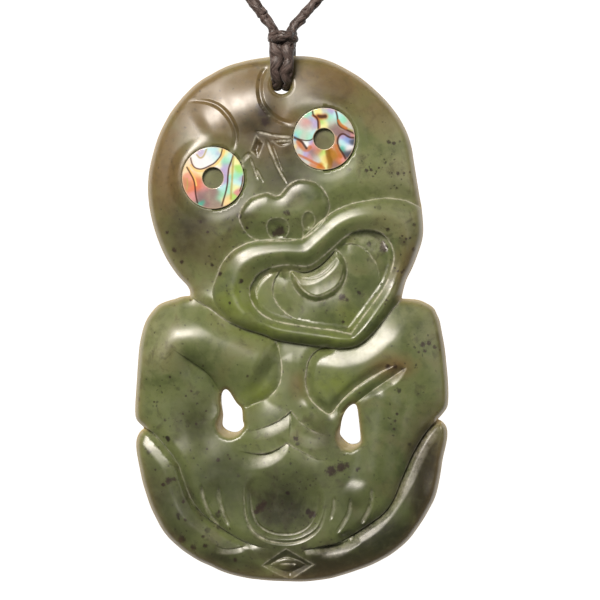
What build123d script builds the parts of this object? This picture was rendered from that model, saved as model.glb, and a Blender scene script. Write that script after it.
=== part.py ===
from build123d import *
from collections import namedtuple
from math import tan, radians, pi
import os

os.makedirs("parts", exist_ok=True)

# The pendant is worn: the origin is the nape of the neck, +Z is up and the figure faces -Y.
# The drilled hole that the cord goes through lies this far below and in front of the nape.
drop = 126.0
reach = 130.0

# Carved figure. Heights are measured towards the front from the figure's middle plane.
back_depth = 4.0
back_round = 1.4
head_height = 5.0
head_round = 2.4
head_inset = 0.15
head_middle = (0.5, -18.0)
trunk_height = 3.7
trunk_round = 1.2
lip_height = 5.5
mouth_floor = 3.6
tongue_height = 4.6
nose_height = 5.6
pad_height = 4.2
belly_floor = 2.5

# Drilled hole for the cord, eased at both mouths.
hole_radius = 1.53
hole_ease = 0.4
hole_ease_angle = 45
hole_mouth_radius = hole_radius + hole_ease

# Inlaid rings of shell.
eye_radius = 5.0
pupil_radius = 1.7
eye_thickness = 1.0
eye_gap = 0.06
eye_sink = 0.1
left_eye_place = (-11.05, -15.0)
right_eye_place = (6.85, -8.75)

# Plaited cord, and the same cord pressed thinner where it is hitched.
cord_diameter = 1.8
hitch_diameter = 1.44
bend_share = 0.45
knot_length = 7.0
knot_diameter = 5.4
knot_end = 1.3

# Places on the figure: x to the right and z up from the drilled hole, seen from the front.
neck_left = (-14.8, -34.0)
neck_right = (19.5, -34.4)
waist_left = (-22.3, -55.4)
waist_right = (25.3, -54.0)
elbow_left = (-23.3, -54.3)
elbow_right = (26.6, -52.3)

crown = [
    neck_right, (21.2, -29.5), (22.9, -24.5), (22.7, -19.7), (21.4, -11.8), (19.1, -5.2),
    (14.3, 0.2), (7.8, 4.0), (1.4, 4.9), (-5.1, 4.2), (-13.1, 0.9), (-19.1, -6.4),
    (-21.6, -15.3), (-21.3, -20.2), (-18.9, -27.6), (-16.0, -31.5), neck_left,
]
chin = [
    neck_left, (-10.6, -36.8), (-5.9, -39.4), (0.6, -41.4), (9.4, -42.5),
    (14.0, -40.6), (16.7, -37.6), neck_right,
]
left_arm = [
    neck_left, (-16.4, -34.2), (-19.6, -35.3), (-21.9, -37.9), (-23.0, -41.9),
    (-23.4, -46.0), (-23.7, -52.4), elbow_left,
]
right_arm = [
    elbow_right, (27.0, -49.2), (26.4, -42.7), (25.6, -37.9), (23.6, -35.3),
    (20.6, -34.5), neck_right,
]
legs_outside = [
    waist_left, (-23.5, -57.7), (-22.5, -64.2), (-19.6, -71.5), (-13.1, -77.1),
    (-5.1, -79.8), (3.0, -80.3), (11.0, -78.9), (17.5, -76.0), (23.1, -69.8),
    (25.7, -62.9), (26.8, -56.2), waist_right,
]
legs_inside = [
    waist_left, (-17.2, -60.3), (-15.2, -65.6), (-11.2, -70.3), (-6.4, -73.5), (1.4, -74.5),
    (9.4, -73.7), (15.4, -69.8), (19.1, -64.0), (21.5, -58.9), waist_right,
]
left_gap = [
    (-9.3, -49.0), (-7.9, -50.5), (-6.6, -52.2), (-6.2, -55.0), (-7.4, -56.1),
    (-9.0, -55.8), (-9.7, -54.4), (-9.4, -52.4), (-9.8, -50.4),
]
right_gap = [
    (11.9, -51.5), (12.5, -54.0), (12.8, -57.3), (11.9, -58.1), (10.4, -57.6),
    (9.4, -56.1), (9.7, -54.2), (10.6, -52.4),
]

lips = [
    (-10.0, -30.0), (-8.1, -26.9), (-5.1, -25.3), (0.0, -24.9), (3.2, -24.8), (7.3, -21.3),
    (12.0, -19.0), (16.7, -18.3), (20.6, -19.2), (21.3, -23.5), (19.6, -28.2), (17.6, -33.0),
    (14.5, -38.2), (9.5, -41.2), (0.5, -40.1), (-6.5, -38.0), (-10.2, -34.8),
]
mouth = [
    (-3.1, -30.2), (0.5, -28.9), (5.0, -29.1), (8.6, -26.0), (11.9, -23.6), (15.4, -23.6),
    (17.9, -26.8), (17.0, -31.6), (14.0, -36.1), (11.2, -40.0), (3.0, -38.7), (-2.6, -37.2),
    (-4.8, -34.2),
]
tongue = [
    (1.4, -30.0), (2.6, -33.2), (5.6, -35.0), (9.4, -33.2), (10.5, -30.2), (8.8, -27.6),
    (6.6, -29.6), (3.6, -30.4),
]
nose = [
    (-6.9, -21.3), (-5.2, -18.4), (-2.2, -17.4), (0.2, -17.9), (2.2, -15.6), (5.0, -15.4),
    (7.2, -17.4), (7.4, -21.1), (4.6, -22.4), (2.4, -20.8), (0.6, -21.8), (-1.6, -23.9),
    (-4.9, -24.4),
]
left_pad = [
    (-13.0, -43.6), (-8.0, -42.4), (-1.6, -41.6), (0.0, -44.6), (-0.6, -48.6),
    (-3.1, -50.8), (-6.1, -51.0), (-9.6, -47.8),
]
right_pad = [
    (7.2, -42.6), (4.8, -44.6), (3.9, -47.6), (4.6, -50.8), (7.6, -53.0), (10.4, -50.6),
    (14.0, -47.6), (18.2, -46.2), (17.0, -43.2), (12.4, -43.0),
]
belly = [
    (-5.2, -64.2), (-5.4, -68.8), (-3.8, -72.0), (1.2, -73.2), (5.2, -71.6),
    (6.8, -68.2), (6.4, -64.4), (0.8, -61.6),
]

Grooves = namedtuple("Grooves", "top depth cuts")
face_grooves = Grooves(head_height, 0.6, [
    (0.8, [(-15.2, -2.6), (-11.2, -2.9), (-8.5, -5.2), (-7.3, -8.1), (-8.0, -10.6)]),
    (0.8, [(-2.3, 2.3), (-3.5, -0.5), (-2.7, -3.7), (-0.4, -5.9), (2.4, -6.3)]),
    (0.6, [(-4.2, -7.6), (-2.4, -8.0), (1.6, -8.5)]),
    (0.6, [(-2.3, -8.9), (-1.4, -11.8), (0.7, -15.6)]),
    (0.6, [(-5.0, -10.6), (-5.9, -11.8), (-6.2, -13.4)]),
])
body_grooves = Grooves(trunk_height, 0.9, [
    (1.1, legs_inside),
    (0.9, [(-17.2, -42.8), (-14.8, -44.4), (-11.9, -46.3), (-10.2, -48.8)]),
    (0.8, [(1.4, -52.4), (-1.0, -54.5), (-4.3, -55.5), (-5.7, -55.5)]),
    (0.8, [(1.9, -56.9), (-1.0, -58.4), (-4.3, -59.8), (-7.3, -58.9)]),
    (0.8, [(1.5, -52.3), (3.8, -55.2), (7.5, -56.6)]),
    (0.8, [(1.4, -57.4), (3.0, -58.9), (5.6, -60.5)]),
    (0.9, [(18.4, -46.5), (15.6, -51.1), (15.1, -57.3), (14.4, -62.9), (11.6, -65.0)]),
    (0.9, [(-11.3, -56.6), (-9.0, -60.0), (-6.6, -62.6), (-4.0, -61.4)]),
    (0.7, [(-12.8, -64.7), (-12.5, -67.3), (-11.0, -70.2)]),
    (0.7, [(-10.1, -64.8), (-9.8, -68.1), (-8.5, -71.3)]),
    (0.7, [(14.4, -65.3), (14.3, -68.1), (12.8, -70.8)]),
    (0.7, [(11.0, -66.9), (10.6, -69.7), (9.0, -72.3)]),
    (0.6, [(-3.1, -77.6), (0.7, -75.6), (5.2, -77.4)]),
    (0.6, [(-3.1, -77.6), (1.4, -79.2), (5.2, -77.4)]),
])

# Cord routes, as x, height in front of the figure's middle plane, and z up from the drilled hole.
# The hitch is one strand: down the front, through the hole, up the back, over the top and across.
strand_gap = 0.08
face_gap = 0.1
leg_x = (hitch_diameter + strand_gap) / 2
leg_height = head_height + hitch_diameter / 2 + face_gap
back_height = -back_depth - hitch_diameter / 2 - face_gap
bar_height = leg_height + hitch_diameter + 2 * face_gap
hitch_right = [
    (3.6, leg_height, 11.1), (1.0, leg_height, 8.3), (leg_x, leg_height, 0.0),
    (leg_x, back_height, 0.0), (2.3, back_height, 5.8), (2.95, 0.8, 6.9), (2.5, bar_height, 7.8),
]
hitch_left = [
    (-2.95, leg_height, 11.1), (-0.85, leg_height, 8.3), (-leg_x, leg_height, 0.0),
    (-leg_x, back_height, 0.0), (-2.3, back_height, 5.8), (-2.55, 0.8, 6.9), (-2.1, bar_height, 7.5),
]
hole_bend = 1.3
edge_bend = 2.2
bar_bend = 1.44

# One arm of the cord, in the pendant's own frame, from the hitch to the knot at the nape.
arm_first_run = 22.0
cord_route = [
    (35.0, -121.5, -71.0), (53.0, -98.0, -44.0), (62.0, -67.0, -23.0), (56.0, -34.0, -9.0),
    (35.0, -10.5, -2.0), (14.0, 0.0, 0.0), (knot_length / 2, 0.0, 0.0),
]


def face_at(height):
    """The plane of the front view, at a height in front of the figure's middle plane."""
    return Plane(origin=(0, -reach - height, -drop), x_dir=(1, 0, 0), z_dir=(0, -1, 0))


def closed_form(points, height):
    """A face at a height, inside one closed outline of short lines and tangent arcs."""
    with BuildSketch(face_at(height)) as form:
        with BuildLine():
            FilletPolyline(*points, radius=corner_radii(points, closed=True), close=True)
        make_face()
    return form.sketch


def drawn_in(points):
    """The same outline, a little nearer to the middle of the head."""
    moved = []
    for x, z in points:
        away = Vector(x - head_middle[0], z - head_middle[1])
        near = away - away.normalized() * head_inset
        moved.append((head_middle[0] + near.X, head_middle[1] + near.Y))
    return moved


def corner_radii(points, closed=False):
    """The largest arc at each corner of a route that its two runs allow."""
    places = [Vector(*point) for point in points]
    if closed:
        places = places[-1:] + places + places[:1]
    radii = []
    for before, here, after in zip(places, places[1:], places[2:]):
        turn = radians((here - before).get_angle(after - here))
        shorter = min((here - before).length, (after - here).length)
        radii.append(bend_share * shorter / tan(turn / 2))
    return radii


def bends(points):
    """An open line of short runs joined by tangent arcs, for the outline being drawn."""
    return FilletPolyline(*points, radius=corner_radii(points))


def mirrored(points):
    """The same route on the left side."""
    return [(-x, y, z) for x, y, z in points]


def hung(points):
    """A route measured from the drilled hole, in the pendant's own frame."""
    return [(x, -reach - height, z - drop) for x, height, z in points]


def hitch_radii(side):
    """The arcs of one side of the hitch: tight ones through the hole and over the bar."""
    free = corner_radii(side)
    return [free[0], hole_bend, hole_bend, edge_bend, free[-1], bar_bend]


def arm_route(side, way_round):
    """One arm of the cord: it leaves the hitch in line with its strand, then goes round the neck."""
    start = Vector(*side[0])
    away = (start - Vector(*side[1])).normalized()
    return [side[0], tuple(start + away * arm_first_run)] + way_round


def tube(route, radii, diameter, name):
    """A round cord of straight runs joined by tangent arcs, its radii and volume printed."""
    with BuildPart() as cord:
        with BuildLine() as path:
            FilletPolyline(*route, radius=radii)
        with BuildSketch(Plane(origin=path.line @ 0, z_dir=path.line % 0)):
            Circle(diameter / 2)
        sweep(path=path.line)
    length = sum(edge.length for edge in path.line.edges())
    wanted = length * pi * diameter**2 / 4
    print(name, "length", round(length, 1), "radii", [round(radius, 1) for radius in radii])
    print(name, "volume", round(cord.part.volume, 1), "of", round(wanted, 1))
    cord.part.label = name
    return cord.part


with BuildPart() as head:
    with BuildSketch(face_at(0)):
        with BuildLine():
            bends(drawn_in(crown))
            bends(drawn_in(chin))
        make_face()
    extrude(amount=head_height)
    fillet(head.faces().sort_by(Axis.Y)[0].edges(), head_round)

with BuildPart() as tiki:
    with BuildSketch(face_at(-back_depth)):
        with BuildLine():
            bends(crown)
            bends(left_arm)
            Line(elbow_left, waist_left)
            bends(legs_outside)
            Line(waist_right, elbow_right)
            bends(right_arm)
        make_face()
    extrude(amount=back_depth + trunk_height)
    fillet(tiki.faces().sort_by(Axis.Y)[-1].edges(), back_round)
    fillet(tiki.faces().sort_by(Axis.Y)[0].edges(), trunk_round)
    for pad in (left_pad, right_pad):
        extrude(closed_form(pad, 0), amount=pad_height)
    add(head.part)
    extrude(closed_form(lips, 0), amount=lip_height)
    extrude(closed_form(nose, 0), amount=nose_height)
    extrude(closed_form(mouth, lip_height), amount=mouth_floor - lip_height, mode=Mode.SUBTRACT)
    extrude(closed_form(tongue, 0), amount=tongue_height)
    extrude(closed_form(belly, trunk_height), amount=belly_floor - trunk_height, mode=Mode.SUBTRACT)
    for carved in (face_grooves, body_grooves):
        with BuildSketch(face_at(carved.top)):
            for width, route in carved.cuts:
                with BuildLine():
                    bends(route)
                trace(line_width=width)
        extrude(amount=-carved.depth, mode=Mode.SUBTRACT)
    for gap in (left_gap, right_gap):
        extrude(closed_form(gap, 0), amount=head_height, both=True, mode=Mode.SUBTRACT)
    with BuildSketch(face_at(0)):
        Circle(hole_radius)
    extrude(amount=head_height, both=True, mode=Mode.SUBTRACT)
    for mouth_height, inwards in ((head_height, -1), (-back_depth, 1)):
        with BuildSketch(face_at(mouth_height)):
            Circle(hole_mouth_radius)
        extrude(amount=inwards * hole_ease, taper=hole_ease_angle, mode=Mode.SUBTRACT)
    for place in (left_eye_place, right_eye_place):
        with BuildSketch(face_at(head_height)):
            with Locations(place):
                Circle(eye_radius + eye_gap)
        extrude(amount=-eye_thickness - eye_sink - eye_gap, mode=Mode.SUBTRACT)
print("tiki", tiki.part.is_valid, round(tiki.part.volume))
tiki.part.label = "tiki"
export_step(tiki.part, "parts/tiki.step")

for name, place in (("left_eye", left_eye_place), ("right_eye", right_eye_place)):
    with BuildPart() as eye:
        with BuildSketch(face_at(head_height - eye_sink)):
            with Locations(place):
                Circle(eye_radius)
                Circle(pupil_radius, mode=Mode.SUBTRACT)
        extrude(amount=-eye_thickness)
    eye.part.label = name
    export_step(eye.part, "parts/" + name + ".step")

# The hitch: the right side's points, then the left side's backwards.
right_side, left_side = hung(hitch_right), hung(hitch_left)
hitch = tube(
    right_side + left_side[::-1], hitch_radii(right_side) + hitch_radii(left_side)[::-1],
    hitch_diameter, "hitch",
)
export_step(hitch, "parts/hitch.step")

# The two arms round the neck.
right_arm_route = arm_route(right_side, cord_route)
left_arm_route = arm_route(left_side, mirrored(cord_route))
for name, route in (("right_cord", right_arm_route), ("left_cord", left_arm_route)):
    arm = tube(route, corner_radii(route), cord_diameter, name)
    export_step(arm, "parts/" + name + ".step")

# The knot behind the neck, a plain barrel that both ends of the cord run into.
with BuildPart() as nape_knot:
    with BuildSketch(Plane.XY):
        with BuildLine():
            Polyline(
                (-knot_length / 2, knot_end), (-knot_length / 2, 0),
                (knot_length / 2, 0), (knot_length / 2, knot_end),
            )
            ThreePointArc(
                (knot_length / 2, knot_end), (0, knot_diameter / 2), (-knot_length / 2, knot_end),
            )
        make_face()
    revolve(axis=Axis.X)
nape_knot.part.label = "nape_knot"
export_step(nape_knot.part, "parts/nape_knot.step")
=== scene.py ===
import math

import bpy
import numpy as np
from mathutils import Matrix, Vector
from mathutils.geometry import delaunay_2d_cdt


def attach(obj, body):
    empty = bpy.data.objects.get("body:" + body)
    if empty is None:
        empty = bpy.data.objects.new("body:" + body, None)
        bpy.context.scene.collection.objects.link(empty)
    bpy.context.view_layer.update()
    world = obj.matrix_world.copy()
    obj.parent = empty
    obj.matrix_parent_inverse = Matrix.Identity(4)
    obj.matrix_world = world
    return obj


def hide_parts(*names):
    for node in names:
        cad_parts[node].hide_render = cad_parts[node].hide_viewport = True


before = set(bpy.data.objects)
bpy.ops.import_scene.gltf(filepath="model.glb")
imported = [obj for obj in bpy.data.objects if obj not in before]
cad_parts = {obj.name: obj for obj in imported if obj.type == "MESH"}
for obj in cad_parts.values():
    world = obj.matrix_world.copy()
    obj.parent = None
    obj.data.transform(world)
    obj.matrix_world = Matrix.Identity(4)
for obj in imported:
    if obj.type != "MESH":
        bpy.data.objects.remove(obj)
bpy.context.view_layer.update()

# Real sizes in millimetres. The origin is at the nape, the hole lies DROP below it, and the figure's middle
# plane REACH in front of it. Heights on the figure are counted from that plane.
MM = 0.001
DROP = 126.0
REACH = 130.0
BACK_DEPTH = 4.0
EYE_RADIUS = 5.0
PUPIL_RADIUS = 1.7
EYE_FACE = 4.9
EYE_SEAT = 3.9
HOLE_RADIUS = 1.53
CORD_WIDTH = 1.8

# The photograph's frame: the drilled hole's centre, and the scale that the cord and the eyes give.
HOLE_PX = (281.5, 84.5)
PX_PER_MM = 6.2
VIEW_PX = 600
CAMERA_AWAY = 620.0
CAMERA_AIM = 4.0
SENSOR_WIDTH = 36.0

BODY = "root"


def spot(points):
    """Places read in the photograph's pixels, as millimetres right of and above the drilled hole."""
    return (np.asarray(points, float) - HOLE_PX) * (1 / PX_PER_MM, -1 / PX_PER_MM)


def at(x, height, z):
    """A point in metres from x, height in front of the figure's middle plane, and z above the hole."""
    return Vector((x * MM, -(REACH + height) * MM, (z - DROP) * MM))


# Camera and light
def place_camera():
    middle = spot([(VIEW_PX / 2, VIEW_PX / 2)])[0]
    data = bpy.data.cameras.new("camera")
    camera = bpy.data.objects.new("camera", data)
    bpy.context.scene.collection.objects.link(camera)
    data.sensor_width = SENSOR_WIDTH
    data.lens = SENSOR_WIDTH * CAMERA_AWAY / (VIEW_PX / PX_PER_MM)
    data.clip_start, data.clip_end = 0.02, 20.0
    camera.location = at(middle[0], CAMERA_AWAY + CAMERA_AIM, middle[1])
    camera.rotation_euler = (math.radians(90), 0, 0)
    bpy.context.scene.camera = camera


def softbox(name, where, size, power, target, tint):
    data = bpy.data.lights.new(name, "AREA")
    data.shape = "RECTANGLE"
    data.size, data.size_y = size
    data.energy = power
    data.color = tint
    lamp = bpy.data.objects.new(name, data)
    bpy.context.scene.collection.objects.link(lamp)
    lamp.location = where
    lamp.rotation_euler = (Vector(target) - Vector(where)).to_track_quat("-Z", "Y").to_euler()


place_camera()


# Material writing
class Value:
    """A number that varies over a surface: one output of a material's node."""

    def __init__(self, finish, socket):
        self.finish = finish
        self.socket = socket

    def reckon(self, operation, first, second):
        return self.finish.node("Math", {"operation": operation}, first, second)

    def __add__(self, other):
        return self.reckon("ADD", self, other)

    def __radd__(self, other):
        return self.reckon("ADD", other, self)

    def __sub__(self, other):
        return self.reckon("SUBTRACT", self, other)

    def __rsub__(self, other):
        return self.reckon("SUBTRACT", other, self)

    def __mul__(self, other):
        return self.reckon("MULTIPLY", self, other)

    def __rmul__(self, other):
        return self.reckon("MULTIPLY", other, self)


class Finish:
    """A material and the few calls that write its nodes."""

    def __init__(self, name, **constants):
        self.material = bpy.data.materials.new(name)
        self.material.use_nodes = True
        self.tree = self.material.node_tree
        self.shader = self.tree.nodes["Principled BSDF"]
        for socket, value in constants.items():
            self.shader.inputs[socket.replace("_", " ")].default_value = value

    def node(self, kind, settings=None, *values, out=0, **named):
        """Adds one node: its settings first, then the values or links of its sockets."""
        made = self.tree.nodes.new("ShaderNode" + kind)
        for key, value in (settings or {}).items():
            if key == "stops":
                ramp = made.color_ramp
                while len(ramp.elements) < len(value):
                    ramp.elements.new(0.5)
                for element, (position, colour) in zip(ramp.elements, value):
                    element.position = position
                    element.color = (*colour, 1)
            else:
                setattr(made, key, value)
        pairs = list(enumerate(values))
        pairs += [(key.replace("_", " "), value) for key, value in named.items()]
        for key, value in pairs:
            self.give(made.inputs[key], value)
        return Value(self, made.outputs[out])

    def give(self, socket, value):
        if isinstance(value, Value):
            self.tree.links.new(value.socket, socket)
        else:
            socket.default_value = (*value, 1) if socket.type == "RGBA" and len(value) == 3 else value

    def feed(self, **sockets):
        for name, value in sockets.items():
            self.give(self.shader.inputs[name.replace("_", " ")], value)

    def place(self):
        """Where on the object, in metres, as laid out in its mesh."""
        return self.node("TexCoord", out="Object")

    def mark(self, name):
        """A number stored on the mesh's points."""
        return self.node("Attribute", {"attribute_name": name}, out="Fac")

    def noise(self, vector, scale, detail=3.0, rough=0.5, bend=0.0, out="Fac"):
        return self.node(
            "TexNoise", {}, Vector=vector, Scale=scale, Detail=detail, Roughness=rough, Distortion=bend, out=out
        )

    def span(self, value, low, high, to_low=0.0, to_high=1.0):
        """The value's range low to high spread over another range, and held at its ends."""
        return self.node("MapRange", {"clamp": True}, value, low, high, to_low, to_high)

    def blend(self, share, first, second, kind="MIX"):
        """A colour between two colours."""
        made = self.tree.nodes.new("ShaderNodeMix")
        made.data_type = "RGBA"
        made.blend_type = kind
        self.give(made.inputs[0], share)
        self.give(made.inputs[6], first)
        self.give(made.inputs[7], second)
        return Value(self, made.outputs[2])

    def bump(self, height, strength, distance):
        return self.node("Bump", {}, Height=height, Strength=strength, Distance=distance)


# Lines on the figure, each cut this many times at its corners, and worked on in blocks of so many pairs
CORNER_CUTS = 3
MOST_PAIRS = 3_000_000


def smooth(points, closed=False):
    """A control line rounded by cutting its corners. A point given twice stays a sharp corner."""
    line = np.asarray(points, float)
    for _ in range(CORNER_CUTS):
        before, after = (line, np.roll(line, -1, axis=0)) if closed else (line[:-1], line[1:])
        cut = np.stack([0.75 * before + 0.25 * after, 0.25 * before + 0.75 * after], 1).reshape(-1, 2)
        line = cut if closed else np.vstack([line[:1], cut[1:-1], line[-1:]])
    keep = np.r_[True, np.hypot(*np.diff(line, axis=0).T) > 1e-6]
    line = line[keep]
    return np.vstack([line, line[:1]]) if closed else line


def evenly(line, spacing):
    """Points along a line at about one spacing, with the line's sideways direction at each."""
    steps = np.hypot(*np.diff(line, axis=0).T)
    run = np.r_[0, np.cumsum(steps)]
    count = max(2, int(round(run[-1] / spacing)) + 1)
    wanted = np.linspace(0, run[-1], count)
    spots = np.c_[np.interp(wanted, run, line[:, 0]), np.interp(wanted, run, line[:, 1])]
    way = np.gradient(spots, axis=0)
    way /= np.maximum(np.hypot(*way.T), 1e-9)[:, None]
    return spots, np.c_[-way[:, 1], way[:, 0]]


def nearest(line, spots, reach):
    """For the spots within reach of a line: their numbers, distance, side (left is +) and share along it."""
    low, high = line.min(0) - reach, line.max(0) + reach
    near = np.flatnonzero(((spots > low) & (spots < high)).all(1))
    start, step = line[:-1], np.diff(line, axis=0)
    size = (step**2).sum(1)
    run = np.r_[0, np.cumsum(np.sqrt(size))]
    found = [np.empty((0, 3))]
    for part in np.array_split(near, 1 + len(near) * len(start) // MOST_PAIRS):
        gap = spots[part][:, None] - start[None]
        share = np.clip((gap * step).sum(2) / size, 0, 1)
        gap -= share[..., None] * step
        far = (gap**2).sum(2)
        best = far.argmin(1)
        rows = np.arange(len(part))
        gap = gap[rows, best]
        side = np.sign(step[best, 0] * gap[:, 1] - step[best, 1] * gap[:, 0])
        along = (run[best] + share[rows, best] * np.sqrt(size[best])) / run[-1]
        found.append(np.c_[np.sqrt(far[rows, best]), side, along])
    found = np.vstack(found)
    close = found[:, 0] < reach
    return near[close], found[close, 0], found[close, 1], found[close, 2]


def distance(line, spots, reach):
    """How far each spot is from a line, counted up to the reach."""
    far = np.full(len(spots), reach)
    near, close, _, _ = nearest(line, spots, reach)
    far[near] = close
    return far


def inside(line, spots):
    """Which spots lie inside a closed line."""
    within = np.zeros(len(spots), bool)
    box = np.flatnonzero(((spots > line.min(0)) & (spots < line.max(0))).all(1))
    (x1, y1), (x2, y2) = line[:-1].T, line[1:].T
    for part in np.array_split(box, 1 + len(box) * len(x1) // MOST_PAIRS):
        x, y = spots[part].T
        crosses = (y1 > y[:, None]) != (y2 > y[:, None])
        with np.errstate(divide="ignore", invalid="ignore"):
            where = x1 + (y[:, None] - y1) * (x2 - x1) / (y2 - y1)
        within[part] = (crosses & (x[:, None] < where)).sum(1) % 2 == 1
    return within


def swell(share):
    """Level at 0 and at 1, with a smooth rise between them."""
    share = np.clip(share, 0, 1)
    return share * share * (3 - 2 * share)


def quarter(share):
    """A quarter round: steep at 0, level at 1."""
    return np.sqrt(1 - (1 - np.clip(share, 0, 1)) ** 2)


def dome(share):
    """A broad low dome: 0 at its edge, 1 and level at its middle."""
    return 1 - (1 - np.clip(share, 0, 1)) ** 2


def shoulder(share):
    """A steep edge that turns into a long gentle rise."""
    return 0.55 * quarter(share / 0.3) + 0.45 * dome(share)


def straight(share):
    """A flat slope from 0 to 1."""
    return np.clip(share, 0, 1)


def around(count):
    """Even steps of a whole turn."""
    return np.arange(count) * 2 * math.pi / count


def circle(turn):
    return np.c_[np.cos(turn), np.sin(turn)]


# The figure's outline, clockwise from the top in the photograph, corners given twice
OUTLINE = [
    (280, 54.5), (300, 54.5), (310, 55), (320, 56.5), (330, 59.5), (340, 64), (350, 69.5), (360, 75.5), (370, 83.5),
    (380, 92.5), (390, 103), (400, 116.5), (406, 127.5), (410, 137.5), (412.8, 148), (414.2, 158), (415.8, 168),
    (417.9, 181), (420.5, 197), (422.6, 207), (424.3, 226), (423.8, 238), (419, 253), (413.2, 268), (407.2, 279),
    (404.5, 288), (402.2, 298.5), (402.2, 298.5), (409, 298.6), (420, 299.6), (428.5, 303.5), (435.3, 308.2),
    (437.6, 314), (440.5, 320), (442, 328), (444.2, 339.5), (446, 350), (447.4, 364), (448.8, 378), (449.4, 390),
    (449.4, 400), (448.6, 407.4), (445.4, 412.3), (441.5, 417), (438.5, 419.8), (438.5, 419.8), (442, 421.2),
    (445.4, 424), (448.2, 429), (448.5, 437), (447.5, 443), (446, 450), (443.5, 460), (441.5, 475), (438.6, 490),
    (435.6, 500), (430.6, 509.5), (425.6, 518.5), (420.4, 526.5), (410.4, 540.5), (400.3, 549.6), (390.3, 557),
    (380.2, 562.6), (370, 567.5), (360, 571), (350, 574.5), (340, 577.5), (330, 580.4), (310, 583), (300, 583.4),
    (285, 583), (270, 582.4), (260, 581.4), (250, 580.4), (240, 578.4), (230, 576), (220, 572.5), (210, 567.5),
    (200, 563.4), (190, 557.4), (180, 550.5), (170, 541.5), (164.6, 535.4), (159.6, 528.3), (154.5, 518.2),
    (149.5, 508.2), (144.5, 493), (141.5, 483), (139.4, 473), (137.4, 463), (135.4, 452), (135, 443), (136.4, 436.5),
    (139.5, 431.6), (143.5, 428.5), (143.5, 428.5), (140, 425.3), (136.4, 421.8), (134.5, 418), (134, 410),
    (134.5, 400), (135.5, 385), (136.5, 370), (137.5, 355), (138.5, 345), (140.5, 335), (142.5, 327.5),
    (145.5, 319.5), (149.5, 313.5), (154.6, 307.4), (159.7, 303.3), (169.8, 299.8), (175, 298.7), (180, 296.5),
    (189.5, 295.5), (189.5, 295.5), (189.6, 291), (186.6, 285.3), (181.6, 280.3), (175.6, 274), (164, 256.6),
    (154.5, 233.6), (148.7, 210.5), (146.8, 191), (147, 180), (149, 165), (152.8, 149.8), (157.5, 134.8),
    (162.6, 124.2), (169.6, 111.3), (179.6, 98.4), (189.6, 87.6), (199.6, 79.2), (209.7, 73.4), (219.7, 67.8),
    (229.8, 63.4), (239.8, 60.8), (249.8, 58.2), (268, 55.5),
]
LEFT_GAP = [
    (224.5, 389), (228.5, 390.5), (232.5, 397), (235.5, 402), (238.5, 405.6), (241.6, 408), (242.4, 414), (242.4, 421),
    (244.4, 426), (241.3, 430.3), (237, 433.3), (232, 433.3), (226, 431.2), (221.8, 427.2), (221.8, 422),
    (222.8, 416), (221.8, 410), (220.8, 403), (220.8, 394),
]
RIGHT_GAP = [
    (355, 403.6), (357.3, 407), (358.3, 412), (359.3, 420), (360.3, 430), (361.3, 440), (360.2, 443.3), (356, 445.3),
    (350, 445.3), (344.8, 441.2), (339.8, 435.2), (340.8, 428), (341.8, 420), (344.8, 412), (349.8, 406),
]
OUTLINE_LINE = smooth(spot(OUTLINE), closed=True)
GAP_LINES = [smooth(spot(gap), closed=True) for gap in (LEFT_GAP, RIGHT_GAP)]
HOLE_LINE = HOLE_RADIUS * circle(np.linspace(0, 2 * math.pi, 65))
OPENINGS = [*GAP_LINES, HOLE_LINE]
LEFT_EYE = spot([(213, 178)])[0]
RIGHT_EYE = spot([(324, 139)])[0]


# The carver's cuts. Each leaves a thin pale line along its crisp edge.
EDGE_REACH = 0.18
EDGE_FADE = 0.14
NO_FADE = (0.0, 0.0)


def edge_line(far):
    """How strong the pale line is at a distance from the edge."""
    return np.clip(1.35 - far / EDGE_FADE, 0, 1)


def mark_stone(engraved, near, strength):
    """Marks the stone as freshly cut, where it isn't marked more already."""
    engraved[near] = np.maximum(engraved[near], strength)


class Cut:
    """One step of the carving: where it is, how it changes the height, and its rows of mesh points."""

    rows = ()

    def __init__(self, points, width, fade=NO_FADE, closed=False):
        self.line = smooth(spot(points), closed)
        self.width = width
        self.fade = fade

    def taper(self, along):
        """Full along the line, and dying out over its faded ends."""
        start, end = self.fade
        share = np.ones_like(along)
        if start:
            share *= swell(along / start)
        if end:
            share *= swell((1 - along) / end)
        return share

    def seeds(self, spacing):
        middle, sideways = evenly(self.line, spacing)
        return np.vstack([np.empty((0, 2)), *[middle + sideways * off for off in self.rows]])


class Groove(Cut):
    """A line cut into the stone, V-shaped or with a flat floor between two crisp edges."""

    def __init__(self, points, width, depth, flat=0.0, fade=(0.15, 0.15), mark=1.0):
        super().__init__(points, width, fade)
        self.depth, self.flat, self.mark = depth, flat, mark

    def half(self, taper):
        """Half the groove's width, narrower where it dies out."""
        return self.width / 2 * (0.45 + 0.55 * taper)

    def seeds(self, spacing):
        middle, sideways = evenly(self.line, spacing)
        half = self.half(self.taper(np.linspace(0, 1, len(middle))))
        offsets = (0.0, self.flat, -self.flat) if self.flat else (0.0,)
        rows = [half * off for off in offsets] + [side * (half + off) for side in (1, -1) for off in (0.02, 0.16)]
        return np.vstack([middle + sideways * row[:, None] for row in rows])

    def carve(self, spots, height, engraved):
        near, far, _, along = nearest(self.line, spots, self.width / 2)
        taper = self.taper(along)
        share = np.clip((1 - far / self.half(taper)) / (1 - self.flat), 0, 1)
        height[near] -= self.depth * taper * share
        mark_stone(engraved, near, self.mark * taper * (share * (1 - share) * 4 if self.flat else share))


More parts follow.
